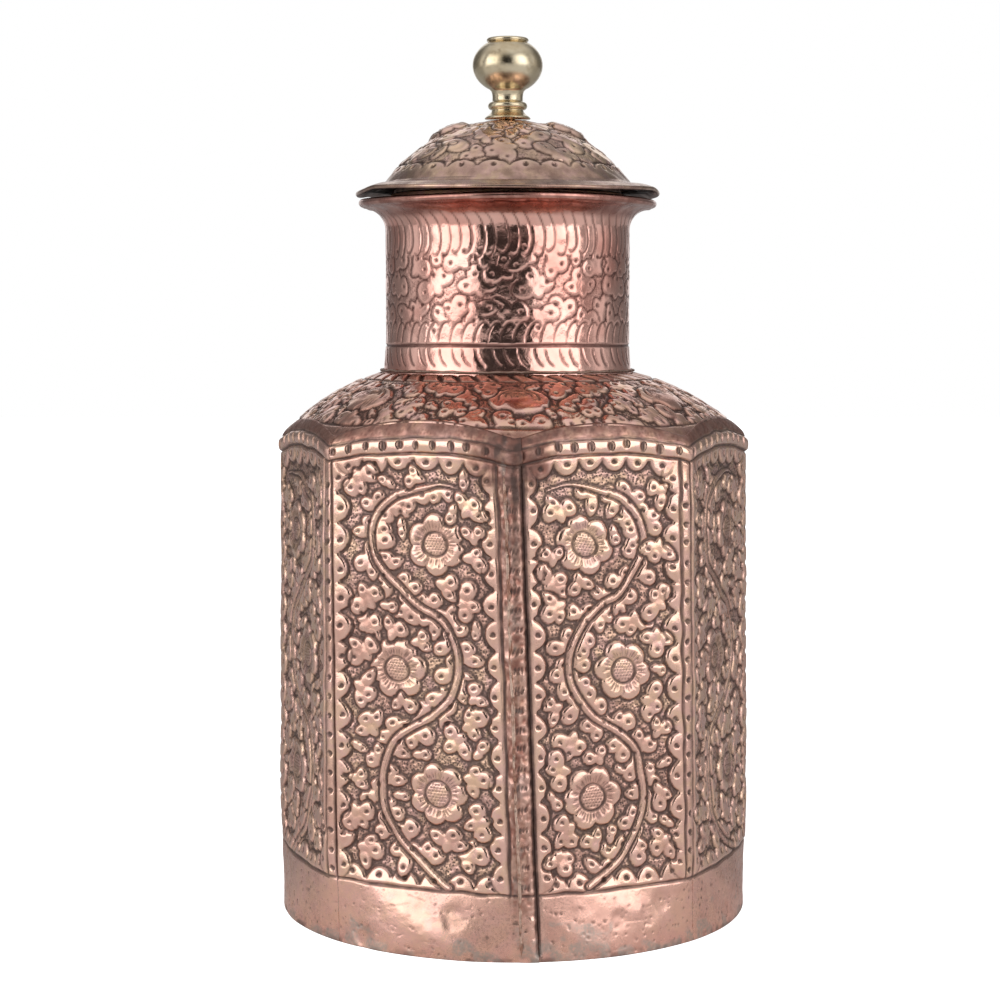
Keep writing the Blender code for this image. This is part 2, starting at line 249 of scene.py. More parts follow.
    def band(self, low, high, soft=0.5):
        """Keeps the ornament between two heights."""
        y = self.y[:, None]
        self.field = smooth(0, soft, np.minimum(y - low, high - y)) + 0 * self.form

    def ring(self, count, stray=lambda: 0):
        """Places all round the pot, each a little out of step."""
        for k in range(count):
            yield (k + stray()) / count * self.width

    def along(self, x, y, width, depth):
        """An engraved line that runs round the pot."""
        self.cut(np.stack([x, y + 0 * x], 1), width, depth)

    def grain(self, cell, seed, x, y):
        """Noise of a given grain, at points of the drawing."""
        return self.read(self.noise(cell, seed), x, y)

    def masks(self, x, y):
        """The masks that the copper materials read, at points of the drawing."""
        return {key: self.read(getattr(self, key), x, y) for key in ("hollow", "worn_and_highlit", "ground")}

    def read(self, layer, x, y):
        """The layer's value at points of the drawing."""
        x, y = (x - self.x[0]) / self.step, np.clip((y - self.y[0]) / CELL, 0, self.ny - 1.001)
        return between(layer, y, x if self.wrap else np.clip(x, 0, self.nx - 1.001))


def egg(dx, dy, length, width, angle, taper=0.25):
    """Signed distance inside an egg that points along angle."""
    c, s = cos(angle), sin(angle)
    a, b = dx * c + dy * s, dy * c - dx * s
    wide = width * np.clip(1 + taper * a / length, 0.3, 1.7)
    q = np.sqrt((a / length) ** 2 + (b / wide) ** 2)
    ray = np.hypot(a, b) / np.maximum(q, 1e-6)
    return (1 - q) * np.where(q > 1, ray, min(length, width))


def curve(points, steps=4):
    """A smooth path through a few points."""
    p = np.asarray(points, float)
    p = np.vstack([2 * p[0] - p[1], p, 2 * p[-1] - p[-2]])
    out = []
    for a, b, c, d in zip(p, p[1:], p[2:], p[3:]):
        for t in np.arange(steps) / steps:
            at = 2 * b + (c - a) * t + (2 * a - 5 * b + 4 * c - d) * t * t
            out.append(0.5 * (at + (3 * b - 3 * c + d - a) * t**3))
    return np.array(out + [p[-2]])


def arc(cx, cy, radius, start, end, count=7):
    """Points of an arc, in degrees, whose radius is one number or one each way."""
    a = np.radians(np.linspace(start, end, count))
    return np.stack([np.cos(a), np.sin(a)], 1) * radius + (cx, cy)


def flower(sheet, x, y, radius, petals, turn, seed):
    """An open flower: cupped petals, a ring of fine strokes and a punched centre."""
    def petal_edge(dx, dy):
        wave = np.abs(np.cos(petals / 2 * (np.arctan2(dy, dx) - turn))) ** 0.75
        return (radius * (0.79 + 0.22 * wave) - np.hypot(dx, dy)) * 0.9

    sheet.shape(x, y, radius + 4.5, petal_edge)
    core = radius * 0.41
    for window, dx, dy in sheet.near(x, y, radius * 1.3):
        r = np.hypot(dx, dy)
        fold = 0.5 + 0.5 * np.abs(np.cos(petals / 2 * (np.arctan2(dy, dx) - turn)))
        cup = np.exp(-(((r - 0.76 * radius) / (0.2 * radius)) ** 2)) * fold
        bulge = np.clip(1 - (r / core) ** 2, 0, None) ** 0.5
        sheet.high[window] += 0.3 * (cup + 0.6 * bulge)
    draw = dice(seed).uniform
    for i in range(38):
        a = TAU * (i + draw(-0.25, 0.25)) / 38
        ends = (core + 0.5, core + draw(1.5, 2.9) * radius / 7.4)
        stroke = [(x + r * cos(a), y + r * sin(a)) for r in ends]
        sheet.cut(stroke, 0.16, draw(0.2, 0.34), taper=0.4)
    sheet.cut(arc(x, y, core, 0, 360, 25), 0.3, 0.46)
    for i in range(-4, 5):
        for j in range(-4, 5):
            px, py = (i + 0.5 * (j % 2)) * 0.8, j * 0.72
            if hypot(px, py) < core - 0.4:
                sheet.dot(x + px, y + py, 0.27, 0.3)


def leaf(sheet, x, y, size, angle, lobes, mark=0.36, join=False):
    """A spray of uneven lobes, each with a punched dot; mark is how deep the dots are."""
    spread = 1.42 if lobes == 2 else 1.2
    parts = []
    for k in range(lobes):
        vary, other = sin(12.9 * x + 7.8 * y + 2.4 * k), sin(5.1 * x + 9.7 * y + 3.3 * k)
        turn = angle + (k - (lobes - 1) / 2) * spread + 0.2 * vary
        far, length = (0.55 + 0.07 * vary) * size, (0.5 + 0.08 * vary) * size
        parts.append((turn, far, length, (0.41 + 0.06 * other) * size, 0.3 * other))

    def spray(dx, dy):
        best = egg(dx, dy, size * 0.45, size * 0.34, angle)
        for a, far, length, wide, taper in parts:
            ox, oy = far * cos(a), far * sin(a)
            best = np.maximum(best, egg(dx - ox, dy - oy, length, wide, a, taper))
        return best

    sheet.shape(x, y, size + 5.5, spray, join)
    ratio = np.interp(y, sheet.y, sheet.ratio)
    for a, far, *_ in parts:
        at = x + 1.15 * far * cos(a) / ratio, y + 1.15 * far * sin(a)
        sheet.dot(*at, 0.52, mark)


def fill(sheet, sizes, seed, low, high, keep, mark=0.36):
    """Packs sprays of leaves into the room that is left; keep is how far apart they stay."""
    rng = dice(seed)
    rows = (sheet.y > low) & (sheet.y < high)
    for size, lobes in sizes:
        for _ in range(400):
            room = (sheet.form < -keep * size) & (sheet.field > 0.9) & rows[:, None]
            spots = np.flatnonzero(room)
            if not len(spots):
                break
            row, col = divmod(int(spots[rng.integers(len(spots))]), sheet.nx)
            x, y = sheet.x[col], sheet.y[row]
            angle = rng.uniform(0, TAU)
            back = 0.36 * size
            at = x - back * cos(angle) / sheet.ratio[row], y - back * sin(angle)
            leaf(sheet, *at, size, angle, lobes, mark)


# ---- meshes


def normals(points, wrap_rows=False, wrap_cols=False):
    def slope(axis, wrap):
        if wrap:
            return np.roll(points, -1, axis) - np.roll(points, 1, axis)
        return np.gradient(points, axis=axis)

    n = np.cross(slope(1, wrap_cols), slope(0, wrap_rows))
    return n / (np.linalg.norm(n, axis=2, keepdims=True) + 1e-12)


def build(name, points, faces, flat=(), layers=None, slots=(), face_slots=None):
    """A mesh piece from points in millimetres; faces in flat are not shaded smooth."""
    mesh = bpy.data.meshes.new(name)
    mesh.from_pydata((points * MM).tolist(), [], [*faces, *flat])
    mesh.polygons.foreach_set("use_smooth", np.arange(len(mesh.polygons)) < len(faces))
    for key, values in (layers or {}).items():
        layer = mesh.attributes.new(key, "FLOAT", "POINT")
        layer.data.foreach_set("value", np.ascontiguousarray(values, np.float32))
    obj = bpy.data.objects.new(name, mesh)
    bpy.context.scene.collection.objects.link(obj)
    for material in slots:
        mesh.materials.append(material)
    if face_slots is not None:
        mesh.polygons.foreach_set("material_index", np.asarray(face_slots, np.int32))
    mesh.update()
    return obj


def quads(rows, cols, wrap_rows=False, wrap_cols=False, base=0, flip=False):
    j = np.arange(rows if wrap_rows else rows - 1)[:, None]
    i = np.arange(cols if wrap_cols else cols - 1)[None]
    j2, i2 = (j + 1) % rows, (i + 1) % cols
    order = [j * cols + i, j * cols + i2, j2 * cols + i2, j2 * cols + i]
    if flip:
        order = order[::-1]
    return (np.stack(order, -1).reshape(-1, 4) + base).tolist()


def double_sheet(name, outer, inner, layers, slots):
    """A closed piece of sheet: a fine outer face, a coarser inner face, and its edges."""
    size, few = outer.shape[:2], inner.shape[:2]
    points = np.vstack([outer.reshape(-1, 3), inner.reshape(-1, 3)])
    base, spare = size[0] * size[1], few[0] * few[1]
    front, back = quads(*size), quads(*few, base=base, flip=True)
    fine, coarse = np.arange(base).reshape(size), base + np.arange(spare).reshape(few)
    edges = []
    for a, b in ((fine[0], coarse[0]), (fine[-1][::-1], coarse[-1][::-1]),
                 (fine[:, 0][::-1], coarse[:, 0][::-1]), (fine[:, -1], coarse[:, -1])):
        for k in range(len(b) - 1):
            run = a[k * STEP : (k + 1) * STEP + 1]
            edges.append([*run[::-1].tolist(), int(b[k]), int(b[k + 1])])
    full = {k: np.concatenate([v.ravel(), np.full(spare, LINING_MASK)]) for k, v in layers.items()}
    kinds = [0] * len(front) + [1] * len(back) + [0] * len(edges)
    return build(name, points, front + back, edges, full, slots, kinds)


def skin(name, points, wrap_rows, slots, layers=None, lining=None):
    """A piece whose columns run right round it, its ends closed; lining marks its tinned rows."""
    rows, cols = points.shape[:2]
    faces = quads(rows, cols, wrap_rows, True)
    caps = []
    if not wrap_rows:
        caps = [list(range(cols))[::-1], [(rows - 1) * cols + i for i in range(cols)]]
    kinds = None if lining is None else np.repeat(lining, cols)
    flatter = {k: v.ravel() for k, v in (layers or {}).items()}
    return build(name, points.reshape(-1, 3), faces, caps, flatter, slots, kinds)


def belongs(piece, body, node):
    """The piece rides on the body and stands for the CAD node, which is hidden."""
    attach(piece, body)
    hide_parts(node)


def distances(points):
    """How far along a path each of its points is."""
    return np.r_[0, np.cumsum(np.hypot(*np.diff(points, axis=0).T[:2]))]


def resample(profile, spacing):
    """Points a given distance apart along a profile."""
    profile = np.asarray(profile, float)
    length = distances(profile)
    count = max(2, int(round(length[-1] / spacing)) + 1)
    at = np.linspace(0, length[-1], count)
    return np.stack([np.interp(at, length, profile[:, k]) for k in (0, 1)], 1)


def polar(r, bearing, z, centre_x=0.0):
    """Points at a radius, a bearing from the front and a height."""
    x = centre_x + r * np.sin(bearing)
    return np.stack([x, -r * np.cos(bearing), z + 0 * x], -1)


def turned(profile, columns):
    """A profile turned round the neck's middle, with the bearing of each column."""
    bearing = np.arange(columns) / columns * TAU
    return polar(profile[:, :1], bearing, profile[:, 1:], NECK_X), bearing


# ---- the body's shape


def octagon_radius(bearing, inset=0.0):
    total = 0.0
    for start, end in zip(CORNERS, CORNERS[1:]):
        flat = CORNER_RADIUS * cos((end - start) / 2) - inset
        facing = np.clip(np.cos(bearing - (start + end) / 2), 0, None)
        total = total + (facing * CORNER_RADIUS / flat) ** CORNER_SHARPNESS
    return CORNER_RADIUS * total ** (-1 / CORNER_SHARPNESS)


def wall_radius(bearing, z):
    blend = smooth(0, FACET_Z, z)
    spread = SPREAD * np.minimum((SHOULDER_EDGE_Z - z) / (SHOULDER_EDGE_Z - FACET_Z), 1.0)
    return FOOT_RADIUS * (1 - blend) + octagon_radius(bearing, -spread) * blend


def shoulder_z(radius):
    return SHOULDER_ARC_Z + np.sqrt(SHOULDER_ARC**2 - (radius - SHOULDER_ARC_R) ** 2)


def sway(bearing, z, amount=0.16):
    """The slow unevenness of a sheet raised by hand."""
    total = 0
    waves = ((3, 37, 0.4), (7, 21, 1.9), (12, 15, 3.1), (19, 11, 5.2), (31, 7, 0.9))
    for turns, length, phase in waves:
        total = total + np.sin(turns * bearing + TAU * z / length + phase) / (1 + turns / 12)
    return amount * total / 2.2


bearing_table = np.linspace(-0.2, TAU + 0.2, 8001)
length_table = distances(polar(octagon_radius(bearing_table), bearing_table, 0))
length_table -= np.interp(0, bearing_table, length_table)
CORNER_AT = np.interp(CORNERS, bearing_table, length_table)


# ---- one chased side

# The scroll and its three flowers, as parts of a side's width and height
STEM = [(0.66, 0.012), (0.54, 0.045), (0.43, 0.085), (0.34, 0.135), (0.29, 0.20), (0.29, 0.27),
        (0.345, 0.33), (0.46, 0.375), (0.60, 0.41), (0.70, 0.455), (0.74, 0.52), (0.72, 0.58),
        (0.64, 0.635), (0.53, 0.67), (0.41, 0.705), (0.31, 0.745), (0.255, 0.80), (0.255, 0.85),
        (0.30, 0.895), (0.40, 0.925), (0.54, 0.945), (0.70, 0.955), (0.84, 0.945)]
FLOWERS = [(0.63, 0.815), (0.385, 0.515), (0.62, 0.225)]


def drift(corner, z):
    """How far the lines up a corner stray sideways: the sheet was lapped out of true."""
    if corner in (0, 8):
        return 0.9 + SEAM_LEAN * (1 - z / LEAN_Z)
    return CORNER_LEAN * (1 - z / LEAN_Z)


def arch(x, width, index):
    """Height of the arch over a side, which dips to ARCH_Z at its corners."""
    x = x + drift(index, ARCH_Z) * (1 - x / width) + drift(index + 1, ARCH_Z) * x / width
    off = np.abs(np.abs(x - width / 2) / (width / 2))
    off = np.where(off > 1, 2 - off, off)
    return ARCH_Z + ARCH_RISE * (1 - off**2.2)


def upright(sheet, x, foot, width=0.42, depth=0.5):
    """An engraved line up a side."""
    sheet.cut([(x, foot), (x, 60), (x, BORDER_TOP)], width, depth)


def chase_side(index, width, left, right):
    """Draws one side of the body: border, scroll, flowers, leaves, arch and corner strip."""
    mirrored, seed = index % 2 == 0, 100 + 7 * index
    rng = dice(seed)
    draw = rng.uniform
    sheet = Sheet(width + 8, 134, start=(-4, -1))
    x, y = sheet.x[None], sheet.y[:, None]
    top = arch(x, width, index) - ARCH_BAND
    edges = np.minimum(np.minimum(x - left, right - x), np.minimum(y - LINE_Z - 0.3, top - y))
    sheet.field = smooth(-0.1, 0.3, edges + 0 * y)

    # scalloped border, its lobes joined by a narrow band
    ribbon = np.maximum(np.maximum(2.1 - (x - left), 2.1 - (right - x)),
                        np.maximum(1.5 - (y - LINE_Z), 1.6 - (top - y)))
    sheet.form = np.maximum(sheet.form, ribbon)
    low, count = LINE_Z + 0.4, 14
    pitch = (BORDER_TOP - low) / count
    for k in range(count):
        cy = low + (k + 0.5) * pitch + draw(-0.3, 0.3)
        for line, away in ((left, 1), (right, -1)):
            deep, tall = draw(3.9, 5.0), pitch * draw(0.50, 0.56)
            lean = draw(-0.2, 0.2)
            sheet.lobe(line, cy, deep, tall, lean)
            crest = arc(line + away * 0.4, cy, (away * deep * 0.99, tall), -80, 40)
            sheet.cut(crest, 0.3, 0.3, 0.6)
            sheet.dot(line + away * draw(1.9, 2.7), cy + draw(-0.4, 0.4), *PUNCH)
    count = 6
    pitch = (right - left - 3) / count
    for k in range(count):
        cx = left + 1.5 + (k + 0.5) * pitch + draw(-0.3, 0.3)
        deep = draw(3.8, 4.8)
        sheet.lobe(cx, LINE_Z + 0.3, pitch * 0.54, deep)
        sheet.dot(cx, LINE_Z + 2.4, *PUNCH)
        crown = arch(cx, width, index) - ARCH_BAND
        deep = draw(4.2, 5.2)
        sheet.lobe(cx, crown, pitch * 0.54, deep)
        sheet.cut(arc(cx, crown, (pitch * 0.5, deep), 190, 330), 0.3, 0.26, 0.6)
        sheet.dot(cx, crown - 2.1, *PUNCH)

    # scroll and flowers
    wide, tall = right - left, BORDER_TOP - LINE_Z
    def place(px, py):
        return left + wide * ((1 - px) if mirrored else px), LINE_Z + tall * py
    shift = rng.normal(0, 0.004, (len(STEM), 2))
    stem = curve([place(px + a, py + b) for (px, py), (a, b) in zip(STEM, shift)], 7)
    tangent = np.gradient(stem, axis=0)
    side = np.stack([-tangent[:, 1], tangent[:, 0]], 1)
    side /= np.linalg.norm(side, axis=1, keepdims=True)
    # leaves on the scroll, the flowers and the scroll over them, then sprays in the room left
    for k in range(5, len(stem) - 6, 8):
        for hand in (1, -1):
            at = k + 4 * (hand < 0)
            base = stem[at] + side[at] * hand * 0.9
            size = draw(4.4, 5.4)
            along = atan2(tangent[at][1], tangent[at][0]) + hand * draw(0.75, 1.35)
            tip = base + 0.9 * size * np.array([cos(along), sin(along)])
            row = int(np.clip((tip[1] - sheet.y[0]) / CELL, 0, sheet.ny - 1))
            col = int(np.clip((tip[0] - sheet.x[0]) / sheet.step, 0, sheet.nx - 1))
            if sheet.form[row, col] < -0.3 * size and sheet.field[row, col] > 0.9:
                leaf(sheet, *base, size, along, 3 if size > 5.0 else 2, join=rng.random() < 0.6)
    for k, (px, py) in enumerate(FLOWERS):
        at = place(px + rng.normal(0, 0.008), py + rng.normal(0, 0.003))
        radius, petals = draw(7.4, 8.0), 7 if rng.random() < 0.4 else 6
        flower(sheet, *at, radius, petals, draw(0, 1), seed + 1 + k)
    sheet.rib(stem, 0.9)
    for off in (-0.28, 0.3):
        sheet.cut(stem + side * off, 0.15, 0.26)
    sizes = ((5.0, 3), (4.6, 2), (4.1, 2), (4.3, 1), (3.6, 1))
    fill(sheet, sizes, seed + 50, LINE_Z, ARCH_Z + ARCH_RISE, keep=0.6)

    # lines, arch bead and the marks along it
    for line in (left, right):
        upright(sheet, line, LINE_Z)
    spans = np.linspace(-4, width + 4, 60)
    sheet.along(spans, LINE_Z, 0.34, 0.42)
    for drop, depth in ((0.0, 0.42), (ARCH_BAND, 0.5)):
        sheet.along(spans, arch(spans, width, index) - drop, 0.36, depth)
    half = ARCH_BAND / 2
    bead = 1 - ((y - (arch(x, width, index) - half)) / half) ** 2
    sheet.high += 0.7 * np.sqrt(np.clip(bead, 0, None))
    for _ in range(260):
        cx, up = draw(-3, width + 3), draw(0.6, 5.0)
        sheet.dot(cx, arch(cx, width, index) + up, 0.3, 0.16)
    pitch = 4.6
    for k in range(int(width / pitch)):
        cx = 2.6 + k * pitch + draw(-0.25, 0.25)
        cy = arch(cx, width, index) - half + draw(-0.1, 0.5)
        sheet.dot(cx, cy, 0.68, 0.66, (draw(0.8, 1.2), draw(1.4, 2.1)))
    if index == LAST:
        strip = smooth(right + 0.2, right + 0.8, x) * smooth(2, 6, y) * smooth(124, 118, y)
        sheet.high += strip * (0.16 * sheet.noise(1.4, 71) + 0.1 * sheet.noise(0.7, 72))
    return sheet


def chase_strip(sheet, corner, seed, seamed):
    """The strip up a corner, with short punch marks across it, or groups of strokes on the seam."""
    draw = dice(seed).uniform
    at, pitch = corner + (0.2 if seamed else 0), 4.8
    for k in range(int((BORDER_TOP - LINE_Z) / pitch)):
        x, y = at + draw(-0.15, 0.15), LINE_Z + 2.4 + k * pitch + draw(-0.3, 0.3)
        if seamed:
            for step in (-0.75, 0.0, 0.75):
                tall = draw(0.6, 1.0)
                sheet.cut([(x + step - 0.2, y - tall), (x + step + 0.2, y + tall)], 0.26, 0.42, 0.5)
        else:
            sheet.dot(x, y, 0.62, 0.5, (draw(1.2, 1.8), 1.1))


def foot_band(sheet, seed):
    """Dents, pits and scratches of the plain band at the foot."""
    draw = dice(seed).uniform
    for _ in range(3):
        at = draw(sheet.x[0], sheet.x[-1]), draw(2, 14)
        sheet.boss(*at, draw(1.6, 3.6), -draw(0.1, 0.26))
    for _ in range(110):
        at = draw(sheet.x[0], sheet.x[-1]), draw(0.6, 15.4)
        sheet.dot(*at, draw(0.22, 0.42), draw(0.05, 0.16))
    for _ in range(8):
        x, y = draw(sheet.x[0], sheet.x[-1]), draw(1, 15)
        a, size = draw(-0.5, 0.5), draw(2, 7)
        tip = (x + size * cos(a), y + size * sin(a))
        sheet.cut([(x, y), tip], 0.16, draw(0.03, 0.08), 0.6)


def body_side(index, slots):
    """A side of the body, from beside a corner to beside the next, its lip over the shoulder."""
    start, width = CORNER_AT[index], CORNER_AT[index + 1] - CORNER_AT[index]
    left = SEAM_EDGE if index == FIRST else CORNER_LINE
    after = SEAM_EDGE if index == LAST else CORNER_LINE
    right = width - (SEAM_LINE if index == LAST else CORNER_LINE)
    sheet = chase_side(index, width, left, right)
    chase_strip(sheet, width, 900 + index, index == LAST)
    foot_band(sheet, 300 + index)
    for edge, lapped in ((left, index == FIRST), (width + after, index == LAST)):
        upright(sheet, edge, *((2.0, 0.7, 0.7) if lapped else (LINE_Z,)))
    sheet.emboss(0.42, 0.26, 0.92, 0.2, 500 + index, outline=0.18, groove_dirt_and_shade=1.15)

    fine, lip_rows = 0.29, 2 * STEP
    cols, rows = (int(round(size / fine / STEP)) * STEP + 1 for size in (width, 127))
    across = np.linspace(left, width + after, cols)
    share = (across - left) / (width + after - left)
    edge_z = arch(across, width, index) + 0.4
    bend_z, over = edge_z - 1.2, 1.9  # where the wall starts to bend, and how far in its lip goes
    z = np.linspace(0, 1, rows)[:, None] * bend_z
    at = start + across + drift(index, z) * (1 - share) + drift(index + 1, z) * share
    bearing = np.interp(at, length_table, bearing_table)
    r = wall_radius(bearing, z)
    t = np.linspace(0, 1, lip_rows + 1)[1:, None]
    edge_r = octagon_radius(bearing[-1])
    def bent(low, corner, end):
        return low * (1 - t) ** 2 + corner * 2 * t * (1 - t) + end * t**2
    lip_r = bent(wall_radius(bearing[-1], bend_z), edge_r - 0.1, edge_r - over)
    lip_z = bent(bend_z, edge_z + 0.7, shoulder_z(edge_r - over) + 0.16)
    bearing = np.vstack([bearing, bearing[-1] + 0 * lip_r])
    base = polar(np.vstack([r, lip_r]), bearing, np.vstack([z, lip_z]))
    n = normals(base)
    v = np.vstack([z, bend_z + 4.2 * t])
    u = across + 0 * v
    fade = np.vstack([np.ones((rows, 1)), 1 - 0.95 * t])
    # the pattern is pushed a little out of true, as one drawn by hand is
    push = 0.35 * smooth(0, 4, u - left) * smooth(0, 4, width + after - u)
    u, v = (w + push * sheet.grain(5.0, 40 + k + index, u, v) for k, w in enumerate((u, v)))
    height = (sheet.read(sheet.height, u, v) + sway(bearing, v)) * fade
    lap = smooth(width - 2.2, width + 0.4, u) * 0.3 if index == LAST else 0.0
    outer = base + n * (height + lap)[..., None]
    thick = SHEET + 0.2 - np.vstack([np.zeros((rows, 1)), (SHEET + 0.02) * t])
    back = (sheet.read(sheet.back, u, v) * 0.7 + sway(bearing, v)) * fade
    inner = (base + n * (back - thick)[..., None])[::STEP, ::STEP]
    tin = smooth(0.15, 0.5, sheet.grain(5.0, 60 + index, u, v) + 0.9 - v / 6.5)
    tin *= smooth(-0.2, 0.5, sheet.grain(2.2, 80 + index, u, v) + 0.25)
    beside = u - (width if index == LAST else 0.0)  # how far from the seam, on its own sides
    if index in SEAM_SIDES:
        streak = sheet.grain(3.1, 90 + index, u, v) + 0.6 * sheet.grain(1.1, 95 + index, u, v)
        tin = np.maximum(tin, smooth(0.1, 0.7, streak + 0.45 - np.abs(beside + 1.2) / 1.6) * 0.55)
    layers = sheet.masks(u, v)
    layers["tin"] = tin * 0.8
    pitted = smooth(-0.3, 0.7, sheet.grain(8.0, 20 + index, u, v)) * smooth(16.4, 15.6, v)
    layers["ground"] = np.maximum(layers["ground"], 0.05 + 0.24 * pitted)
    grit = sheet.grain(1.3, 30 + index, u, v)
    over_arch = smooth(0.1, 0.8, v - arch(u, width, index))
    hollow = [smooth(2.4, 0.2, v) * smooth(-0.5, 0.6, grit) * 0.7, over_arch * (0.4 + 0.3 * grit)]
    tarnish, bare = [over_arch * 0.95, smooth(16.6, 16.0, v) * 0.12], [smooth(16.4, 15.8, v)]
    if index in SEAM_SIDES:
        strip = smooth(4.2, 2.9, np.abs(beside + 0.3)) * smooth(8, 18, v)
        long = sheet.grain(0.8, 33, u, 0.16 * v + 4)
        rubbed = strip * smooth(0.0, 0.45, long + 0.4 * grit) * smooth(112, 100, v)
        burnt = smooth(14, 7, np.abs(beside) + 2.5 * grit) * smooth(112, 118, v + 2 * grit)
        dirt = (0.22 + 0.44 * smooth(80, 116, v)) * (1 + 0.5 * grit + 0.9 * long)
        hollow += [burnt * (0.52 + 0.3 * grit), strip * dirt]
        tarnish += [strip - 0.8 * rubbed, burnt]
        bare.append(rubbed)
        layers["worn_and_highlit"] = layers["worn_and_highlit"] * (1 - 0.9 * burnt)
    layers["hollow"] = np.maximum.reduce([layers["hollow"], *hollow])
    layers["tarnish"], layers["bare"] = np.maximum.reduce(tarnish), np.maximum.reduce(bare)
    side = double_sheet(f"body_side_{index + 1}", outer, inner, layers, slots)
    belongs(side, "caddy", "body_wall")


# ---- shoulder


def chase_shoulder():
    """Gadroons round the neck, a floral band, and plain corners with a stippled edge."""
    rng = dice(21)
    draw = rng.uniform
    drawn_radius = 48  # where the flat drawing has the sheet's own width
    sheet = Sheet(TAU * drawn_radius, CORNER_RADIUS - HOLE_RADIUS + 4, start=(0, -1), wrap=True,
                  ratio=lambda y: (HOLE_RADIUS + y) / drawn_radius)
    ring, rim = 4.6, 23.0
    sheet.band(ring + 0.3, rim, 0.4)
    for x in sheet.ring(46, lambda: draw(-0.12, 0.12)):
        sheet.cut(curve([(x, -0.6), (x + 1.1, 1.6), (x + 3.4, 4.3)]), 0.6, 0.75, 0.3)
    around = np.linspace(0, sheet.width, 260)
    for at, depth in ((ring, 0.42), (rim, 0.36)):
        sheet.along(around, at + 0.12 * np.sin(around / 4), 0.32, depth)
    for x in sheet.ring(7, lambda: 0.042):
        y0 = 13.6 + draw(-0.3, 0.3)
        sheet.shape(x, y0, 13, lambda dx, dy: egg(dx, dy, 7.6, 5.0, 0.0, 0.0))
        sheet.boss(x, y0, 5.4, 0.34)
        sheet.cut(arc(x, y0 - 0.6, (5.0, 3.6), 170, 370, 15), 0.3, 0.34)
        sheet.cut(arc(x, y0 - 1.2, (3.3, 2.2), 175, 365, 13), 0.26, 0.3)
        for a in np.linspace(-1.1, 1.1, 12):
            tip = (x + 4.3 * sin(a), y0 - 3.6 + 4.4 * cos(a) * 0.6)
            base = (x + 2.6 * sin(a), y0 - 3.4 + 2.2 * cos(a) * 0.6)
            sheet.cut([base, tip], 0.2, 0.24)
        for hand in (-1, 1):
            for row, size in ((0, 5.6), (1, 4.8), (2, 4.4)):
                lx, ly = x + hand * (10.2 + 2.6 * row), y0 + (5.0, -1.0, 5.2)[row] * (1 - 0.3 * row)
                leaf(sheet, lx, ly, size, pi / 2 - hand * 1.1 + draw(-0.4, 0.4), 3)
    for x in np.arange(1.8, sheet.width - 1.8, 3.6):
        sheet.dot(x, ring + 1.9, 0.62, 0.34)
    sizes = ((5.2, 3), (4.6, 2), (3.8, 2), (3.0, 1), (2.4, 1))
    fill(sheet, sizes, 33, ring + 2.6, rim - 0.2, keep=0.68)
    for _ in range(700):
        sheet.dot(draw(0, sheet.width), draw(rim + 0.6, rim + 6.5), 0.3, 0.14)
    for _ in range(300):
        x, y0, lean = draw(0, sheet.width), draw(ring + 2.4, rim - 2.2), rng.normal(0, 0.7)
        run = draw(1.2, 2.2)
        for side in range(3):
            ax, ay = x + 0.85 * side * cos(lean), y0 - 0.7 * side * sin(lean)
            sheet.cut([(ax, ay), (ax + run * sin(lean), ay + run * cos(lean))], 0.19, 0.17, 0.5)
    sheet.emboss(0.28, 0.2, 0.95, 0.12, 41, groove_dirt_and_shade=1.7)
    return sheet


def shoulder(slots):
    sheet = chase_shoulder()
    bearing = np.arange(900) / 900 * TAU
    edge = octagon_radius(bearing, SHOULDER_INSET)
    way = np.linspace(0, 1, 90)[:, None]
    radius = HOLE_RADIUS * (1 - way) + edge * way
    z = shoulder_z(radius)
    offset = NECK_X * (1 - way)
    skirt = np.linspace(0, 1, 4)[1:, None]
    radius = np.vstack([radius, edge + 0 * skirt])
    z = np.vstack([z, z[-1] - SKIRT * skirt])
    offset = np.vstack([offset, 0 * skirt])
    outer = polar(radius, bearing, z, offset)
    # rows run outward and down, so the outer face needs its normals turned about
    n = -normals(outer, wrap_cols=True)
    x, y = bearing / TAU * sheet.width + 0 * radius, radius - HOLE_RADIUS
    fade = np.vstack([smooth(1.0, 0.94, way), 0 * skirt])
    height = (sheet.read(sheet.height, x, y) + sway(bearing, y * 2, 0.1)) * fade
    face = outer + n * height[..., None]
    back = outer - n * (SHEET + 0.1)
    back = np.concatenate([back[::8], back[-1:]])
    points = np.concatenate([face, back[::-1]])[::-1]
    layers = {}
    for key, values in sheet.masks(x, y).items():
        layers[key] = np.concatenate([values, np.full(back.shape[:2], LINING_MASK)])[::-1]
    tarnish = np.maximum(smooth(22.5, 24.5, y) * 0.9, smooth(5.2, 4.2, y) * 0.5)
    layers["tarnish"] = np.concatenate([tarnish, np.zeros(back.shape[:2])])[::-1]
    belongs(skin("shoulder_chased", points, True, slots, layers),
            "caddy", "shoulder")


# ---- neck


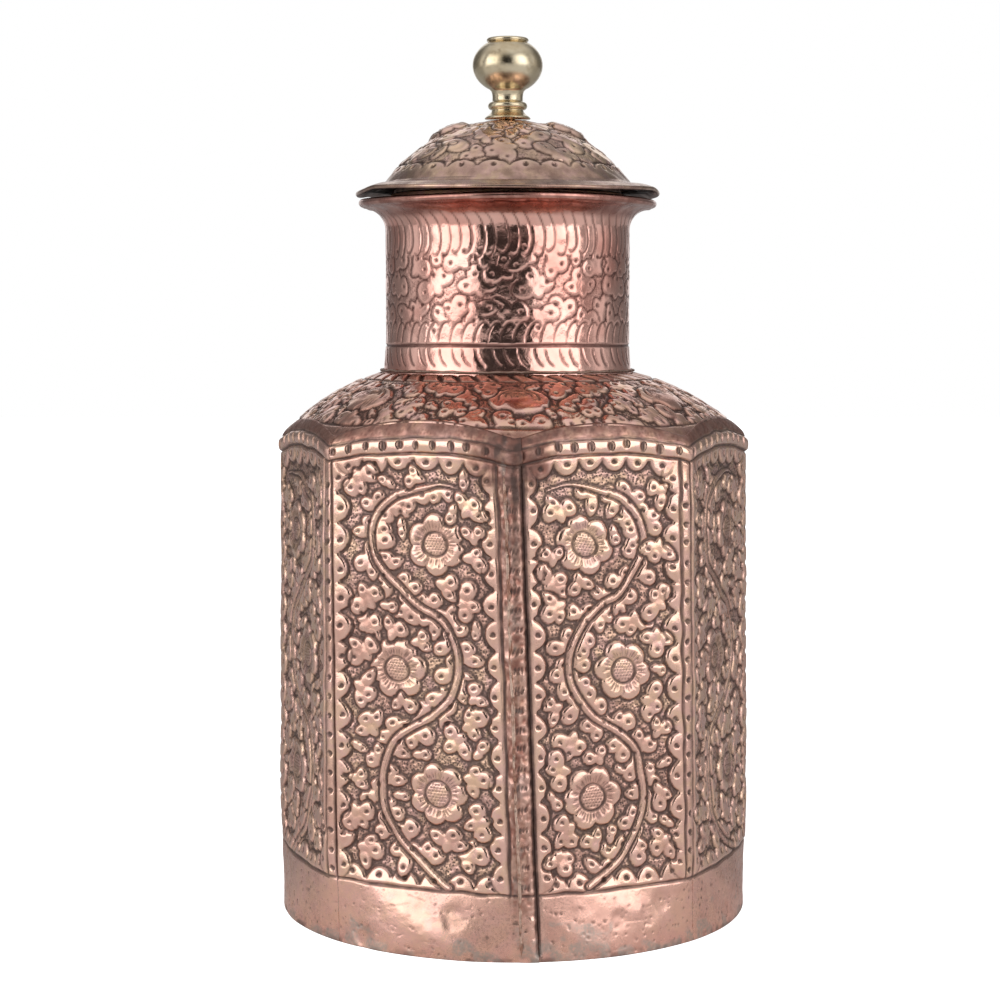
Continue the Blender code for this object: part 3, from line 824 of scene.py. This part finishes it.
def chase_neck():
    """Rows of short curved strokes above and below a band of trefoils on a stippled ground."""
    draw = dice(5).uniform
    sheet = Sheet(TAU * NECK_RADIUS, 50, start=(0, 137), wrap=True)
    low, high = 154.2, 171.6
    sheet.band(low, high)
    # how many strokes, how they are cut, the points that stray up and down, and their path
    strokes = (
        (66, (0.22, 0.17, 0.4), 4, [(-2.2, 182.2), (-0.7, 179.6), (0.1, 176.6), (0.1, 174.0),
                                    (-0.7, 171.8), (-1.7, 171.2), (-2.5, 171.9)]),
        (60, (0.23, 0.17, 0.35), None, [(-1.9, 149.2), (-1.4, 151.8), (-0.2, 153.9), (1.2, 154.4),
                                        (1.9, 153.4)]),
        (58, (0.25, 0.19, 0.3), None, [(-0.9, 147.8), (-0.5, 145.9), (0.4, 144.2), (1.5, 143.3)]),
    )
    for count, cut, hook, path in strokes:
        for x in sheet.ring(count, lambda: draw(-0.12, 0.12)):
            stroke = np.array(path) + (x, 0)
            if hook:
                stroke[hook:, 1] += draw(-0.6, 0.7)
            sheet.cut(curve(stroke), *cut)
    around = np.linspace(0, sheet.width, 160)
    sheet.along(around, 148.5 + 0.1 * np.sin(around / 9), 0.32, 0.36)
    for x in sheet.ring(15, lambda: draw(-0.1, 0.1)):
        for level in (0, 1):
            turn = pi / 2 + draw(-0.5, 0.5)
            size = draw(4.9, 5.7)
            at = x + 6.7 * level, 155.6 + 7.4 * level + draw(-0.4, 0.4)
            leaf(sheet, *at, size, turn, 2 + level, 0.15)
    fill(sheet, ((5.0, 2), (4.2, 1)), 77, low, high, keep=0.56, mark=0.15)
    sheet.emboss(0.02, 0.04, 0.95, 0.06, 61, outline=0.1, groove_dirt_and_shade=3.4)
    sheet.ground = sheet.ground * 0.5
    return sheet


def neck(slots):
    sheet = chase_neck()
    fine, columns = 0.32, 530
    hem = HEM / 2
    flare_r = NECK_RADIUS + FLARE_ARC
    outer = np.vstack([
        [(NECK_FOOT_RADIUS, NECK_FOOT_Z), (NECK_RADIUS, NECK_SPREAD_Z), (NECK_RADIUS, FLARE_Z)],
        arc(flare_r, FLARE_Z, FLARE_ARC, 180, 92, 12),
    ])
    rise = resample(outer, fine)
    rim = arc(MOUTH_RADIUS - hem, MOUTH_Z - hem, hem, -88, 88, 13)
    inner = np.vstack([
        arc(flare_r, FLARE_Z, FLARE_ARC + SHEET, 92, 180, 9),
        [(NECK_RADIUS - SHEET, z) for z in (172, 166, 160, 155, NECK_SPREAD_Z, 144)],
        [(NECK_FOOT_RADIUS - SHEET, NECK_FOOT_Z)],
    ])
    profile = np.vstack([rise, rim, inner])
    base, bearing = turned(profile, columns)
    n = normals(base, wrap_rows=True, wrap_cols=True)
    # the drawing's height is the distance up the sheet, which is z until the flare
    run = distances(profile) + NECK_FOOT_Z
    on = np.arange(len(profile)) < len(rise)
    x, y = bearing / TAU * sheet.width + 0 * run[:, None], run[:, None] + 0 * bearing
    fade = (on * smooth(183.5, 181.5, run) * smooth(139, 141, run))[:, None]
    ripple = np.sin(23 * bearing + 1.5 * np.sin(5 * bearing)) * 0.1
    ripple = ripple * smooth(181.5, 186, run)[:, None]
    height = sheet.read(sheet.height, x, y) * fade + (sway(bearing, y, 0.07) + ripple) * on[:, None]
    points = base + n * height[..., None]
    points[..., 2] += smooth(182, 186, profile[:, 1:]) * 0.22 * np.sin(3 * bearing + 0.8)
    layers = {key: values * fade for key, values in sheet.masks(x, y).items()}
    layers["tarnish"] = smooth(180.6, 182.6, run)[:, None] * 0.95 + 0 * height
    lining = np.arange(len(profile)) >= len(rise) + len(rim) - 1
    belongs(skin("neck_chased", points, True, slots, layers, lining),
            "caddy", "neck")


# ---- lid


def chase_lid(length):
    """A plain edge, a row of scallops with dots, leaves, flowers, bosses and long petals on top."""
    draw = dice(9).uniform
    first = acos(DOME_BASE_RADIUS / DOME_ARC)
    def narrowing(y):
        radius = DOME_ARC * np.cos(first + np.clip(y, 0, length) / DOME_ARC)
        return np.clip(radius, 2, None) / DOME_BASE_RADIUS
    sheet = Sheet(TAU * DOME_BASE_RADIUS, length + 2, start=(0, -1), wrap=True, ratio=narrowing)
    low, high = 4.9, 27.0
    sheet.band(low, high)
    pitch = sheet.width / 23
    for x in sheet.ring(23, lambda: 0.5 + draw(-0.06, 0.06)):
        sheet.lobe(x, 3.4, pitch * 0.5, 2.5)
        sheet.cut(arc(x, 3.3, (pitch * 0.49, 2.5), 8, 172, 9), 0.3, 0.36, 0.3)
        sheet.dot(x, 3.9, 0.66, 0.4)
    for k, turn in enumerate((0.215, 0.5, 0.775)):
        cx, cy = turn * sheet.width, 21.6
        flower(sheet, cx, cy, 5.8, 6, 0.3 * k, 70 + k)
        sheet.boss(cx, cy, 5.2, 1.25)
    for turn, cy in ((0.05, 20.5), (0.33, 13.5), (0.63, 14.5), (0.9, 12.5)):
        cx = turn * sheet.width
        sheet.shape(cx, cy, 11, lambda dx, dy: egg(dx, dy, 5.6, 2.6, -0.5, 0.3))
        sheet.cut(arc(cx, cy, (1.9, 1.1), 0, 360, 15), 0.22, 0.28)
        sheet.boss(cx, cy, 2.6, 0.3)
    fill(sheet, ((6.0, 3), (5.4, 2), (4.6, 2), (4.2, 1)), 88, low, high, keep=0.58, mark=0.22)
    sheet.along(np.linspace(0, sheet.width, 120), 27.6, 0.28, 0.26)
    half = sheet.width / 15 / 2
    for x in sheet.ring(15):
        sheet.cut(curve([(x - half, 28.2), (x - half * 0.5, 32), (x, 34.6), (x + half * 0.5, 32),
                         (x + half, 28.2)]), 0.24, 0.24)
        for off in (-0.45, -0.15, 0.15, 0.45):
            sheet.cut([(x + off * half, 28.6), (x + off * half * 0.8, 31.6)], 0.2, 0.16, 0.4)
    sheet.emboss(0.1, 0.12, 0.85, 0.1, 91, outline=0.16, groove_dirt_and_shade=1.6)
    sheet.ground = sheet.ground * 0.5
    return sheet


def lid(slots):
    first, last = acos(DOME_BASE_RADIUS / DOME_ARC), acos(KNOB_HOLE / DOME_ARC)
    length = DOME_ARC * (last - first)
    sheet = chase_lid(length)
    fine, columns = 0.3, 560
    centre_z = DOME_TOP_Z - DOME_ARC
    half = LID_EDGE / 2
    root = (DOME_BASE_RADIUS + 1.0, (DOME_BASE_Z + BRIM_Z) / 2)
    under = np.vstack([
        arc(0, centre_z, DOME_ARC - SHEET, degrees(acos(KNOB_HOLE / (DOME_ARC - SHEET))),
            degrees(acos((DOME_BASE_RADIUS - SHEET) / (DOME_ARC - SHEET))), 14),
        [(root[0], root[1] - SHEET), (34.6, BRIM_Z - SHEET + 0.25), (BRIM_RADIUS, BRIM_Z - SHEET)],
    ])
    edge = arc(LID_RADIUS - half, half, half, -88, 88, 9)
    brim = resample([
        (LID_RADIUS - half - 0.1, LID_EDGE + 0.02), (BRIM_RADIUS, BRIM_Z), (34.9, BRIM_Z + 0.2),
        (33.9, BRIM_Z + 0.45), root, (DOME_BASE_RADIUS + 0.3, DOME_BASE_Z - 0.3),
    ], 0.45)
    count = int(length / fine)
    dome = arc(0, centre_z, DOME_ARC, degrees(first), degrees(last), count)
    profile = np.vstack([under, edge, brim, dome])
    before = len(under) + len(edge) + len(brim)
    base, bearing = turned(profile, columns)
    base[..., 2] += LID_SEAT_Z
    n = normals(base, wrap_rows=True, wrap_cols=True)
    y = np.r_[np.full(before, -1.0), np.linspace(0, length, count)][:, None] + 0 * bearing
    x = bearing / TAU * sheet.width + 0 * y
    row = np.arange(len(profile))[:, None]
    on = row >= before
    fade = on * smooth(length, length - 2.5, y)
    height = (sheet.read(sheet.height, x, y) + sway(bearing, y * 1.5, 0.26)) * fade
    points = base + n * height[..., None]
    # the brim has been bent by use: it stands a little off the mouth at both sides
    out = smooth(33.5, LID_RADIUS, profile[:, 0])[:, None]
    turn = np.abs(np.sin(bearing - 0.1))
    lift = 1.2 * turn**1.4 - 0.95 * smooth(0.9, 1.0, turn) + 0.1 * np.sin(5 * bearing + 1) + 0.35
    points[..., 2] += out * lift
    layers = {key: values * on for key, values in sheet.masks(x, y).items()}
    # the brim's underside and the start of its edge are tarnished, and painted dark as shade where
    # they show in the gap over the mouth
    underside_tarnish_and_shade = row < len(under) + 2
    patch = sheet.grain(9.0, 95, x, y)
    edge = smooth(6.0, 1.5, y) * (0.75 + 0.25 * patch)
    layers["tarnish"] = np.maximum(np.maximum(edge, underside_tarnish_and_shade), smooth(0.1, 0.6, patch) * 0.6)
    layers["hollow"] = np.maximum(layers["hollow"], underside_tarnish_and_shade * 0.9)
    belongs(skin("lid_chased", points, True, slots, layers, row < len(under) - 4),
            "lid", "lid_dome")


def collar(slots):
    """The ring under the lid that drops into the neck, its foot turned in to find the way."""
    outer = NECK_RADIUS - SHEET - 0.4
    inner = outer - SHEET
    profile = np.array([
        (outer - 0.45, -11.5), (outer - 0.4, -11.4), (outer - 0.12, -10.7), (outer, -10.2),
        (outer, -6.0), (outer, -2.0), (outer, 0.8), (outer - 0.1, 1.0), (inner + 0.1, 1.0),
        (inner, 0.8), (inner, -5.0), (inner, -10.2), (inner - 0.12, -10.7), (inner - 0.4, -11.4),
        (inner - 0.35, -11.5),
    ])
    points, bearing = turned(profile, 240)
    points[..., 2] += LID_SEAT_Z
    points[..., :2] += 0.07 * np.stack([np.sin(3 * bearing), np.cos(2 * bearing)], -1)
    belongs(skin("collar_turned", points, True, slots), "lid", "lid_collar")


# ---- knob, seam and solder


def knob(slots):
    """The turned knob, finer than its CAD node, with its tang and rivet inside the lid."""
    profile = np.vstack([
        [(0.02, -4.6), (1.5, -4.4), (2.6, -3.7), (3.4, -2.5), (2.0, -2.4), (2.0, 0.2), (5.9, 0.28)],
        curve([(6.05, 0.45), (5.75, 0.85), (5.1, 1.3), (4.5, 1.9), (4.1, 2.6)]),
        arc(4.1, 3.7, 1.05, -60, 60, 14),
        [(4.05, 4.75), (4.0, 5.3), (4.0, 6.2)],
        curve([(4.1, 6.9), (4.3, 7.5), (4.75, 8.0)]),
        arc(0, 14.2, (9.2, 7.2), -58, 58, 60),  # the ball
        [(5.05, 20.32)],
        arc(4.9, 20.7, 0.6, -20, 85, 9),
        curve([(4.7, 21.32), (2.6, 21.38), (0.02, 21.4)]),
    ])
    points, _ = turned(profile, 192)
    points[..., 2] += LID_SEAT_Z + DOME_TOP_Z
    belongs(skin("knob_turned", points, False, slots), "lid", "knob")


def tube(path, radii, sides, flatten):
    """Rings round a path: columns run round it, rows along it."""
    tangent = np.gradient(path, axis=0)
    tangent /= np.linalg.norm(tangent, axis=1, keepdims=True)
    out = path * (1, 1, 0)
    out /= np.linalg.norm(out, axis=1, keepdims=True)
    side = np.cross(tangent, out)
    side /= np.linalg.norm(side, axis=1, keepdims=True)
    a = np.arange(sides)[None, :, None] / sides * TAU
    radii = radii[:, None, None]
    return path[:, None] + radii * (np.cos(a) * side[:, None] + flatten * np.sin(a) * out[:, None])


def seam(slots):
    """The bead of spelter run along the lap, uneven and broken where it was filed."""
    draw = dice(3).uniform
    low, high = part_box("seam_braze")
    z = np.linspace(low.z / MM, high.z / MM, 420)
    rough = np.interp(z, np.linspace(z[0], z[-1], 90), draw(-1, 1, 90))
    slow = np.interp(z, np.linspace(z[0], z[-1], 24), draw(-1, 1, 24))
    at = drift(0, z) - 1.5 + 0.28 * slow + 0.1 * rough
    bearing = np.interp(at, length_table, bearing_table)
    path = polar(wall_radius(bearing, z) + 0.16 + 0.06 * rough, bearing, z)
    radii = np.clip(0.4 + 0.16 * slow + 0.12 * rough, 0.14, None)
    radii *= 0.15 + 0.85 * np.minimum(smooth(z[0], z[0] + 2, z), smooth(z[-1], z[-1] - 5, z))
    points = tube(path, radii, sides=14, flatten=0.8)
    belongs(skin("seam_bead", points, False, slots), "caddy", "seam_braze")


def solder_ring(slots):
    """The lumpy line of soft solder round the foot of the neck."""
    low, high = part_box("neck_solder")
    z = (low.z + high.z) / 2 / MM
    columns, rows = 520, 14
    bearing = np.arange(columns) / columns * TAU
    table = dice(8).uniform(-1, 1, (2, 130))
    lumps = [np.interp(bearing, np.linspace(0, TAU, 131), np.r_[t, t[:1]]) for t in table]
    a = -np.arange(rows)[:, None] / rows * TAU
    thick = 0.46 + 0.1 * lumps[0]
    r = 33.22 + 0.08 * lumps[1] + thick * np.cos(a)
    h = z - 0.2 + 0.1 * lumps[0] + 0.8 * thick * np.sin(a)
    points = polar(r, bearing, h, NECK_X)
    belongs(skin("neck_solder_line", points[::-1], True, slots), "caddy", "neck_solder")


# ---- materials


class Paint:
    """A principled material with a small set of node helpers."""

    def __init__(self, name):
        self.material = bpy.data.materials.new(name)
        self.material.use_nodes = True
        self.tree = self.material.node_tree
        self.bsdf = self.tree.nodes["Principled BSDF"]
        self.place = self.node("TexCoord")["Object"]

    def node(self, kind, inputs=(), **settings):
        """The outputs of a new node, whose inputs are named or numbered."""
        new = self.tree.nodes.new("ShaderNode" + kind)
        for key, value in settings.items():
            setattr(new, key, value)
        for key, value in dict(inputs).items():
            self.link(value, new.inputs[key])
        return new.outputs

    def link(self, value, socket):
        """Links an output, sets a plain value, and leaves the socket alone for None."""
        if hasattr(value, "is_output"):
            self.tree.links.new(value, socket)
        elif value is not None:
            socket.default_value = value

    def noise(self, scale, detail, stretch=None):
        place = self.place
        if stretch:
            place = self.node("Mapping", {"Scale": stretch, "Vector": place})[0]
        inputs = {"Scale": scale, "Detail": detail, "Roughness": 0.6, "Vector": place}
        return self.node("TexNoise", inputs)["Fac"]

    def cells(self, scale):
        return self.node("TexVoronoi", {"Scale": scale, "Vector": self.place})["Distance"]

    def layer(self, name):
        return self.node("Attribute", attribute_name=name)["Fac"]

    def math(self, operation, *values, clamp=False):
        return self.node("Math", enumerate(values), operation=operation, use_clamp=clamp)[0]

    def mul(self, *values, clamp=False):
        total = values[0]
        for value in values[1:]:
            total = self.math("MULTIPLY", total, value, clamp=clamp)
        return total

    def mad(self, a, b, c):
        return self.math("MULTIPLY_ADD", a, b, c)

    def span(self, value, low, high, to_low=0.0, to_high=1.0):
        inputs = enumerate((value, low, high, to_low, to_high))
        return self.node("MapRange", inputs, interpolation_type="SMOOTHSTEP")[0]

    def mix(self, amount, a, b):
        a, b = ((*v, 1.0) if isinstance(v, tuple) else v for v in (a, b))
        return self.node("Mix", {0: amount, 6: a, 7: b}, data_type="RGBA")[2]

    def bump(self, height, strength, distance, before=None):
        inputs = {"Strength": strength, "Distance": distance, "Height": height, "Normal": before}
        return self.node("Bump", inputs)[0]

    def finish(self, colour, rough, normal=None, metallic=1.0):
        inputs = {"Base Color": colour, "Roughness": rough, "Normal": normal, "Metallic": metallic}
        for key, value in inputs.items():
            self.link(value, self.bsdf.inputs[key])
        return self.material


def scaled(colour, *factors):
    """A colour with each channel scaled by its own factor."""
    return tuple(v * k for v, k in zip(colour, factors))


def blend(a, share_a, b, share_b):
    return tuple(share_a * v + share_b * w for v, w in zip(a, b))


def copper(name, bright, warm, dark, shine, tarnish, layers=True, matting=0.6, gold=1.0, old=None):
    """Old copper: bright where rubbed, with a painted highlight; brown in the hollows, with painted
    shade; uneven in between.
    """
    p = Paint(name)
    broad, mid, fine = p.noise(45, 3), p.noise(260, 5), p.noise(1500, 4)
    patch = p.span(p.mad(mid, 0.6, p.mul(broad, 0.4)), 0.5, 0.66)
    golden = scaled(bright, 1 + 0.03 * gold, 1 + 0.03 * gold, 1 - 0.13 * gold)
    blush = scaled(bright, 1, 1 - 0.08 * gold, 1 - 0.03 * gold)
    # each coat is where it lies and its colour, and each wear is where it is and what it adds
    coats = [(p.span(p.noise(230, 3), 0.42, 0.6), blush), (p.span(broad, 0.4, 0.68), warm),
             (p.mul(patch, tarnish), blend(warm, 0.5, dark, 0.5))]
    wears = [(mid, 0.16), (patch, 0.1)]
    normal, depth = None, (0.3, 0.0001)
    if layers:
        names = ("hollow", "ground", "worn_and_highlit", "tin", "tarnish")
        hollow, ground, worn_and_highlit, tin, aged = (p.layer(k) for k in names)
        aged = p.mul(aged, p.span(mid, 0.3, 0.62, 0.55, 1.1), clamp=True)
        pits = p.span(p.cells(1700), 0.25, 0.6, 0.95, 0.3)
        # dark patina in the stippled ground and in the hollows, with painted shade in the recesses
        grime_and_shade = p.mad(ground, pits, p.mul(hollow, 0.92))
        grime_and_shade = p.mul(p.mul(grime_and_shade, p.span(mid, 0.25, 0.6, 0.8, 1.1), clamp=True), 0.92)
        # a painted highlight, lighter than the copper, on the rubbed raised parts
        lit = p.mul(worn_and_highlit, 0.6, p.math("SUBTRACT", 1.0, grime_and_shade), clamp=True)
        coats += [
            (p.mul(p.layer("bare"), 0.6), (0.99, 0.59, 0.485)),
            (aged, old or blend(warm, 0.42, dark, 0.4)),
            (grime_and_shade, dark),
            (lit, tuple(min(1.0, 1.1 * v) for v in bright)),
            (p.mul(tin, p.span(fine, 0.35, 0.6, 0.35, 0.85)), (0.45, 0.41, 0.37)),
        ]
        wears += [(aged, 0.12), (grime_and_shade, 0.26), (lit, -0.1), (tin, 0.12)]
        stipple = p.mul(p.span(p.cells(1700), 0.0, 0.45), ground)
        normal, depth = p.bump(stipple, matting, 0.0001), (0.5, 0.00012)
    colour, rough = golden, shine - 0.06
    for amount, coat in coats:
        colour = p.mix(amount, colour, coat)
    for amount, added in wears:
        rough = p.mad(amount, added, rough)
    grain = p.mad(fine, 0.5, p.mul(mid, 0.5))
    return p.finish(colour, p.math("MAXIMUM", rough, 0.07), p.bump(grain, *depth, normal))


def tinned(name):
    p = Paint(name)
    mid, fine = p.noise(120, 5), p.noise(1300, 4)
    colour = p.mix(p.span(mid, 0.35, 0.68), (0.50, 0.47, 0.43), (0.22, 0.18, 0.15))
    return p.finish(colour, p.mad(mid, 0.3, 0.34), p.bump(fine, 0.4, 0.0001))


def brass():
    p = Paint("brass_knob")
    broad, mid, fine = p.noise(90, 4), p.noise(420, 5), p.noise(1800, 3, stretch=(1, 1, 14))
    colour = p.mix(p.span(broad, 0.35, 0.68), (0.82, 0.71, 0.52), (0.60, 0.48, 0.31))
    colour = p.mix(p.span(mid, 0.55, 0.75, 0.0, 0.55), colour, (0.25, 0.17, 0.09))
    rough = p.mad(mid, 0.16, 0.02)
    return p.finish(colour, rough, p.bump(p.math("ADD", fine, mid), 0.25, 0.00008))


def solder(name, light, dark, shine):
    p = Paint(name)
    broad, mid = p.noise(210, 4), p.noise(900, 5)
    colour = p.mix(p.span(broad, 0.42, 0.62), light, dark)
    colour = p.mix(p.span(mid, 0.52, 0.7, 0, 0.7), colour, (0.10, 0.065, 0.05))
    return p.finish(colour, p.mad(mid, 0.3, shine), p.bump(mid, 0.8, 0.0002))


# Each copper's bright, warm and dark colour, its shine and how much of it is tarnished
body_copper = copper("copper_chased", (0.92, 0.60, 0.49), (0.80, 0.45, 0.355), (0.14, 0.097, 0.087),
                     0.2, 0.5, old=(0.41, 0.185, 0.14))
neck_copper = copper("copper_polished", (0.96, 0.57, 0.48), (0.90, 0.43, 0.35), (0.12, 0.05, 0.042),
                     0.10, 0.2, matting=0.4, gold=0.0)
lid_copper = copper("copper_lid", (0.95, 0.67, 0.55), (0.64, 0.40, 0.32), (0.09, 0.055, 0.045),
                    0.115, 0.7)
shoulder_copper = copper("copper_shoulder", (0.95, 0.60, 0.50), (0.76, 0.38, 0.29),
                         (0.08, 0.045, 0.038), 0.12, 0.55)
plain_copper = copper("copper_plain", (0.72, 0.42, 0.32), (0.50, 0.27, 0.19), (0.12, 0.07, 0.05),
                      0.38, 0.6, layers=False)
tin_lining = tinned("tin_lining")
solder_metal = solder("soft_solder", (0.40, 0.28, 0.23), (0.26, 0.15, 0.11), 0.34)


# ---- the pieces

for index in range(8):
    body_side(index, (body_copper, tin_lining))
shoulder((shoulder_copper,))
neck((neck_copper, tin_lining))
lid((lid_copper, tin_lining))
collar((plain_copper,))
knob((brass(),))
seam((solder("spelter_bead", (0.72, 0.52, 0.42), (0.42, 0.22, 0.16), 0.3),))
solder_ring((solder_metal,))

CARRIED = {plain_copper: ("base_plate", "knob_washer"),
           solder_metal: ("base_solder", "shoulder_solder", "collar_solder")}
for material, nodes in CARRIED.items():
    for node in nodes:
        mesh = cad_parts[node].data
        mesh.materials.clear()
        mesh.materials.append(material)


# ---- floor, light and camera


def floor():
    """A wide pale sheet of paper, lit from within so that it meets the background."""
    size, count = 3000.0, 25
    line = np.linspace(-size, size, count)
    x, y = np.meshgrid(line, line)
    points = np.stack([x, y, 0 * x - 0.05], 2).reshape(-1, 3)
    p = Paint("floor_paper")
    pale = p.mix(p.span(p.noise(9, 3), 0.3, 0.7), (0.93, 0.93, 0.93), (0.90, 0.90, 0.90))
    behind = p.span(p.node("SeparateXYZ", {0: p.place})[1], -0.06, 0.1)
    colour = p.mix(behind, pale, (0.50, 0.50, 0.50))
    p.link(pale, p.bsdf.inputs["Emission Color"])
    p.link(p.mul(p.node("LightPath")["Is Camera Ray"], 1.2), p.bsdf.inputs["Emission Strength"])
    paper = p.finish(colour, 0.9, None, 0.0)
    build("floor", points, quads(count, count), slots=(paper,))


def lights():
    """A studio: soft boxes beside the camera and all round, a dim room and a pale ceiling."""
    world = bpy.data.worlds.new("studio")
    bpy.context.scene.world = world
    world.use_nodes = True
    p = Paint.__new__(Paint)
    p.tree = world.node_tree
    p.tree.nodes.clear()
    x, y, z = p.node("SeparateXYZ", {0: p.node("TexCoord")["Generated"]})
    azimuth = p.math("ARCTAN2", x, p.mul(y, -1.0))
    front = p.mul(p.span(y, -0.95, -0.5, 0.045, 0.42), p.span(y, 0.2, 0.62, 1.0, 0.55))
    total = p.math("ADD", front, p.span(z, 0.5, 0.95, 0.0, 0.5))
    # soft boxes: where they start and end, how soft their sides are, their foot, top and strength
    for start, end, soft, low, high, level in (
        (-76, -29, 4, -0.3, 0.62, 2.0), (23, 70, 3, -0.3, 0.62, 2.0),
        (-104, -88, 5, -0.2, 0.6, 0.45), (86, 104, 5, -0.2, 0.6, 0.45),
        (-178, -158, 6, -0.3, 0.6, 0.9), (158, 178, 6, -0.3, 0.6, 0.9),
    ):
        start, end, soft = (radians(v) for v in (start, end, soft))
        across = p.mul(p.span(azimuth, start - soft, start + soft),
                       p.span(azimuth, end - soft, end + soft, 1.0, 0.0))
        up = p.mul(p.span(z, low - 0.12, low + 0.12), p.span(z, high - 0.12, high + 0.12, 1.0, 0.0))
        total = p.math("ADD", total, p.mul(across, up, level))
    lit = p.node("Background", {"Strength": total})
    white = p.node("Background", {"Color": (1, 1, 1, 1)})
    shader = p.node("MixShader", {0: p.node("LightPath")["Is Camera Ray"], 1: lit[0], 2: white[0]})
    p.node("OutputWorld", {"Surface": shader[0]})


def camera():
    """The view of the photograph: a long lens, a little above the body's shoulder, tipped down."""
    data = bpy.data.cameras.new("camera")
    data.lens, data.sensor_width = LENS, SENSOR
    obj = bpy.data.objects.new("camera", data)
    bpy.context.scene.collection.objects.link(obj)
    obj.location = [v * MM for v in CAMERA_AT]
    obj.rotation_euler = (radians(90 - CAMERA_TILT), 0, 0)
    bpy.context.scene.camera = obj


floor()
lights()
camera()
bpy.context.scene.view_settings.view_transform = "Standard"
